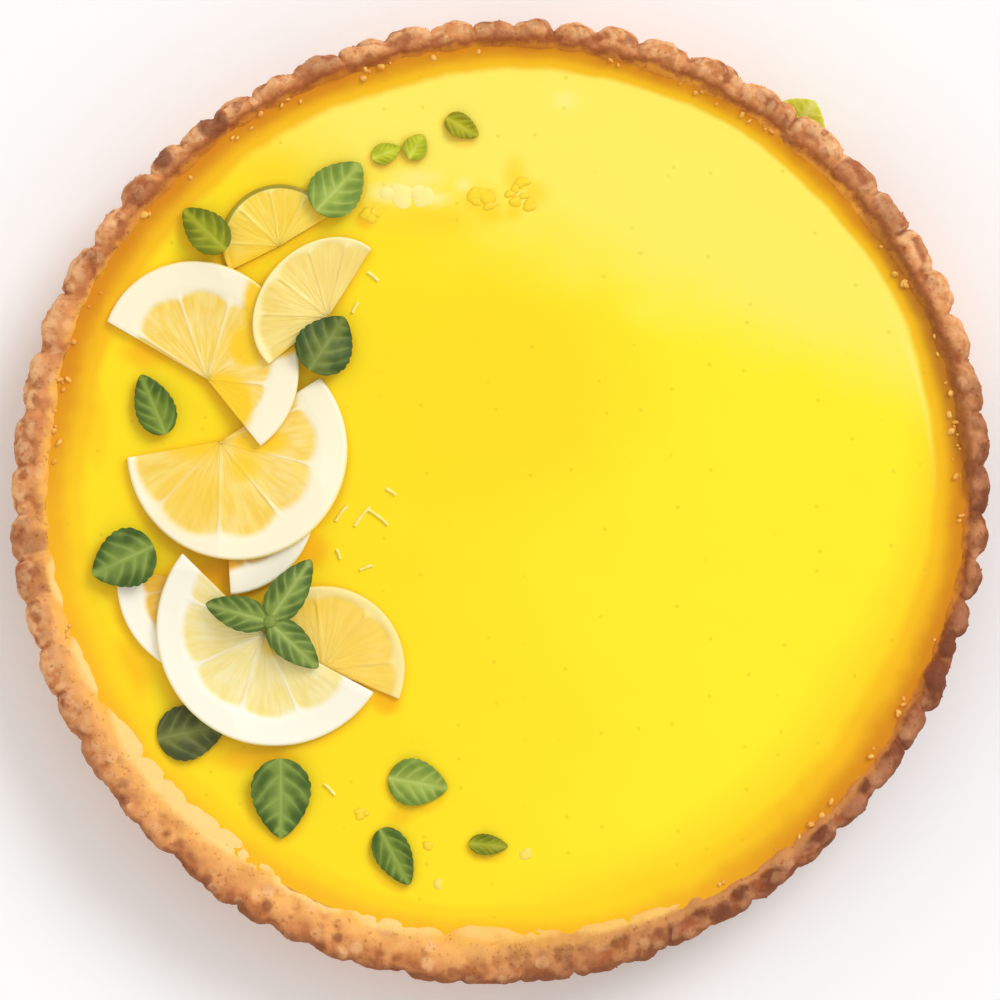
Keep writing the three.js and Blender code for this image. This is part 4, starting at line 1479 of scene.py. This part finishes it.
def edge_marks(turn, inset):
    """How amber the edge is, where a painted highlight gleams on it, and where loose crumbs lie on
    it.
    """
    band = np.interp(turn, np.radians(amber_turns), amber_widths) * mm
    amber = np.clip(1 - inset / band, -1.5, 1)
    right = np.exp(-(((turn - gleam_turn) / gleam_spread) ** 2))
    painted_gleam = np.exp(-(((inset - gleam_inset) / gleam_width) ** 2)) * right
    bunches = np.sin(7 * turn) + np.sin(13 * turn + 1) + np.sin(23 * turn + 2)
    crumbly = np.clip(bunches + 0.5, 0.1, 1) * np.exp(-((inset / crumb_reach) ** 4))
    crumbly = crumbly * (np.arange(inset.shape[1]) > foot_rows)
    return {"amber": amber, "painted_gleam": painted_gleam, "crumbly": crumbly * (1 - lip_at(turn)[0])}


# %% Pour the filling
def pour_filling():
    turn = np.linspace(0, 2 * math.pi, steps_poured + 1)[:, None]
    radius, height, inset = filling_profile(turn)
    flat = np.stack([radius * np.cos(turn), radius * np.sin(turn)], axis=-1) + cavity_shift
    places = {"golden": cover(flat, golden_places), "pale": cover(flat, pale_places)}
    values = edge_marks(turn, inset) | {"painted_shadow": amber_wash(flat)} | places
    points = np.concatenate([flat, height[..., None]], axis=-1)
    poured = grid_piece("lemon_filling_top", points, values)
    poured.data.set_sharp_from_angle(angle=math.radians(40))
    return poured


filling = dressed(pour_filling(), filling_yellow)
print("filling:", len(filling.data.polygons), "faces")

# %% [markdown]
# ## Crumbs in the syrup
# Where the filling meets the case, loose crumbs have sunk into the amber edge and soaked up syrup.
# The crumb tree from the rim is used again, with larger and flatter lumps.

# %% Scatter the soaked crumbs
def plain_finish(name, light, deep, roughness):
    """A finish with soft spots of a second colour."""
    material, tree, place = new_finish(name, roughness)
    spots = noise(tree, place, 1.5 * mm, 2, 1)
    coloured(tree, mixed(tree, eased(spots, 0.35, 0.65), light, deep), spots, 0.1 * mm)
    return material


crumb_gold = plain_finish("soaked_crumb", paint(252, 200, 96), paint(236, 160, 62), 0.5)
crumb_sizes = {"Density": 160000, "Lump size": 1.2 * mm, "Flatness": (1.4, 1, 0.6)}
soaked_crumbs = scattered("soaked_crumbs", filling, {**crumb_sizes, "Material": crumb_gold})

# %% [markdown]
# ## Zest and drops
# Shreds of zest and set drops of syrup lie on the filling. A shred follows a short bent path, so a
# Geometry Nodes tree draws a thin round section along each path.

# %% Lay the zest
# middle, heading in degrees, length
shreds = [((-34.2, -4.6), 52, 6), ((-30.2, -4.8), -38, 6.2), ((-39.4, -3.8), 52, 4.8),
          ((-31.6, 55.6), -40, 3.6), ((-36, 47.8), 60, 3), ((-27, 1.6), -35, 3),
          ((-40.2, -14), -70, 2.6), ((-33.2, -17.4), 20, 3.4), ((-42.4, -72.8), -45, 4)]
shred_bend = 0.15
shred_lift = 0.3 * mm


def shred_paths():
    """One bent path for each shred, as edges without faces."""
    points, edges = [], []
    share = np.linspace(-0.5, 0.5, 9)
    for middle, heading, length in shreds:
        flat = np.stack([share * length, shred_bend * length * (0.25 - share**2)], axis=-1)
        spots = turned_to(flat, heading, middle)
        start = len(points)
        points += [(*spot, filling_level + shred_lift) for spot in spots]
        edges += [(start + i, start + i + 1) for i in range(len(share) - 1)]
    mesh = bpy.data.meshes.new("zest")
    mesh.from_pydata(points, edges, [])
    return linked("zest_shreds", mesh)


def shred_tree():
    tree, size, end = new_tree("Shreds", {"Thickness": "Float", "Material": "Material"})
    path = node_value(tree, "GeometryNodeMeshToCurve", 0, Mesh=size["Geometry"])
    section = node_value(tree, "GeometryNodeCurvePrimitiveCircle", 0, Radius=size["Thickness"],
                         Resolution=10)
    tube = tree.nodes.new("GeometryNodeCurveToMesh")
    plug(tree, path, tube.inputs["Curve"])
    plug(tree, section, tube.inputs["Profile Curve"])
    tube.inputs["Fill Caps"].default_value = True
    finish_tree(tree, Wire(tree, tube.outputs[0]), size["Material"], end)
    return tree


zest = grown(shred_paths(), shred_tree(), {"Thickness": 0.38 * mm, "Material": plain_finish(
    "zest", paint(255, 242, 160), paint(254, 230, 104), 0.4)})

# %% [markdown]
# Set drops are low and uneven and run into each other, so they're made in clumps. Each drop is a
# flattened dome whose outline wavers, placed and sized at random with a fixed seed.

# %% Shape of a drop
# middle and reach of each clump, how many drops, smallest and largest, how pale
clumps = [((-22, 76), (6, 0.9), 6, (1.8, 3), 0.9), ((-31.6, 73), (1.8, 2.6), 5, (0.9, 1.9), 0),
          ((-3.6, 74.8), (3.4, 2), 10, (0.9, 2.2), 0), ((5, 77), (3.2, 4), 12, (0.8, 2), 0),
          ((-35.4, -78.8), (2.4, 1.6), 4, (0.7, 1.4), 0),
          ((-17.2, -86.4), (0.6, 0.6), 2, (1.2, 1.8), 0),
          ((-15.4, -96), (0.4, 0.4), 1, (1.3, 1.4), 0.3),
          ((6.4, -88.6), (0.8, 1), 2, (1, 1.5), 0.3)]
drop_height = 0.36 * mm


def drop_finish():
    material, tree, place = new_finish("set_drops", 0.36, Specular_IOR_Level=0.3)
    pale, high = kept(tree, "pale"), kept(tree, "high")
    golden = mixed(tree, eased(high, 0.1, 0.95), paint(246, 202, 30), paint(253, 220, 44))
    colour = mixed(tree, pale, golden, paint(255, 241, 150))
    coloured(tree, colour, noise(tree, place, 1 * mm, 2, 1), 0.08 * mm)
    return material


def drop_piece(middle, size, narrow, swirl, pale):
    """A low drop whose outline isn't quite round."""
    turn = np.linspace(0, 2 * math.pi, 33)[:, None]
    rise = np.linspace(0, math.pi, 15)[None, :]
    wavering = 1 + 0.14 * np.cos(2 * turn + swirl) + 0.09 * np.cos(3 * turn - swirl)
    reach = np.sin(rise) * size * mm * wavering
    high = np.maximum(-np.cos(rise), 0) ** 2 + turn * 0
    low = np.maximum(np.cos(rise), 0) + turn * 0
    spread = [reach * np.cos(turn), reach * np.sin(turn) * narrow, (high - low) * drop_height]
    points = np.stack(spread, axis=-1) + [middle[0] * mm, middle[1] * mm, filling_level]
    return grid_piece("drop", points, {"pale": high * 0 + pale, "high": high})


# %% Set the drops
def drops_of(middle, reach, count, sizes, pale, chance):
    """One clump of drops."""
    places = middle + chance.uniform(-1, 1, (count, 2)) * reach
    return [drop_piece(place, chance.uniform(*sizes), chance.uniform(0.7, 1),
                       chance.uniform(0, 6), pale) for place in places]


chance = np.random.default_rng(7)
drops = [drop for clump in clumps for drop in drops_of(*clump, chance)]
set_drops = dressed(joined("set_drops", drops), drop_finish())
print("drops:", sum(clump[2] for clump in clumps), "faces:", len(set_drops.data.polygons))

# %% [markdown]
# ## Hand the pieces over
# Each piece stands for its solid, whose CAD part is hidden, and rides on the tart's one body.

# %% Ride and replace
stand_ins = [(piece, node, "lemon" if node.startswith("lemon_slice") else "mint")
             for node, piece in pieces.items()]
stand_ins.append((case, "pastry_case", "pastry"))
stand_ins += [(piece, "lemon_filling", "filling") for piece in (filling, zest, set_drops)]
for piece, node, slot in stand_ins:
    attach(piece, "root")
    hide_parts(node)
loose = (crumbs, soaked_crumbs)
for lumps in loose:
    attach(lumps, "root")
print("handed over:", len(stand_ins) + len(loose), "pieces")

# %% [markdown]
# ## Floor, light and camera
# The tart is shown on plain ground. The floor is wide and nearly white, with a faint unevenness,
# and it's staged, so it stays out of the reusable part.

# %% Floor
floor_half = 3


def set_floor():
    material, tree, place = new_finish("pale_floor", 0.9)
    share = noise(tree, place, 0.2, 1, 1) * 0.2
    coloured(tree, mixed(tree, share, paint(252, 252, 252), paint(249, 249, 249)))
    corners = [(x * floor_half, y * floor_half, 0) for x, y in ((-1, -1), (1, -1), (1, 1), (-1, 1))]
    mesh = bpy.data.meshes.new("floor")
    mesh.from_pydata(corners, [], [(0, 1, 2, 3)])
    floor = dressed(linked("floor", mesh), material)
    return floor


floor = set_floor()
print("floor:", floor.name)


# %% [markdown]
# In the picture soft light comes from the upper right. A sun with a wide face gives shadows with
# soft edges, and a pale world fills them. Lamps close by would do too, but their light falls off,
# so each one would have to be placed by trial.

# %% Light
sky_colour, sky_strength = (1, 0.99, 0.965, 1), 0.78
sun_colour, sun_strength = (0.99, 1, 1.04), 1.2
sun_face = math.radians(28)
sun_tilt, sun_heading = math.radians(48), math.radians(135)


def set_light():
    world = bpy.data.worlds.new("soft_studio")
    world.use_nodes = True
    sky = world.node_tree.nodes["Background"]
    sky.inputs["Color"].default_value = sky_colour
    sky.inputs["Strength"].default_value = sky_strength
    bpy.context.scene.world = world
    sun = bpy.data.lights.new("key", "SUN")
    sun.energy = sun_strength
    sun.color = sun_colour
    sun.angle = sun_face
    key = linked("key", sun)
    key.rotation_euler = (sun_tilt, 0, sun_heading)
    return key


key = set_light()
print("light:", key.name, "strength", key.data.energy)


# %% [markdown]
# The picture looks almost straight down, and no side of the case shows more than another. So the
# camera stands far off with a long lens. The plain view keeps the colours as they were picked.

# %% Camera
camera_height = math.radians(88)
camera_distance, picture_width = 1.5, 0.25
picture_middle = np.array([0.25, -0.5, 27]) * mm


def set_camera():
    """A long lens from far off, so that the tart shows without perspective, as in the picture."""
    camera = bpy.data.cameras.new("camera")
    camera.sensor_width = 36
    camera.lens = camera.sensor_width * camera_distance / picture_width
    holder = linked("camera", camera)
    away = np.array([0, -math.cos(camera_height), math.sin(camera_height)])
    holder.location = picture_middle + camera_distance * away
    holder.rotation_euler = (math.pi / 2 - camera_height, 0, 0)
    bpy.context.scene.camera = holder
    return holder


camera = set_camera()
print("camera: lens", camera.data.lens, "mm")
bpy.context.scene.view_settings.view_transform = "Standard"
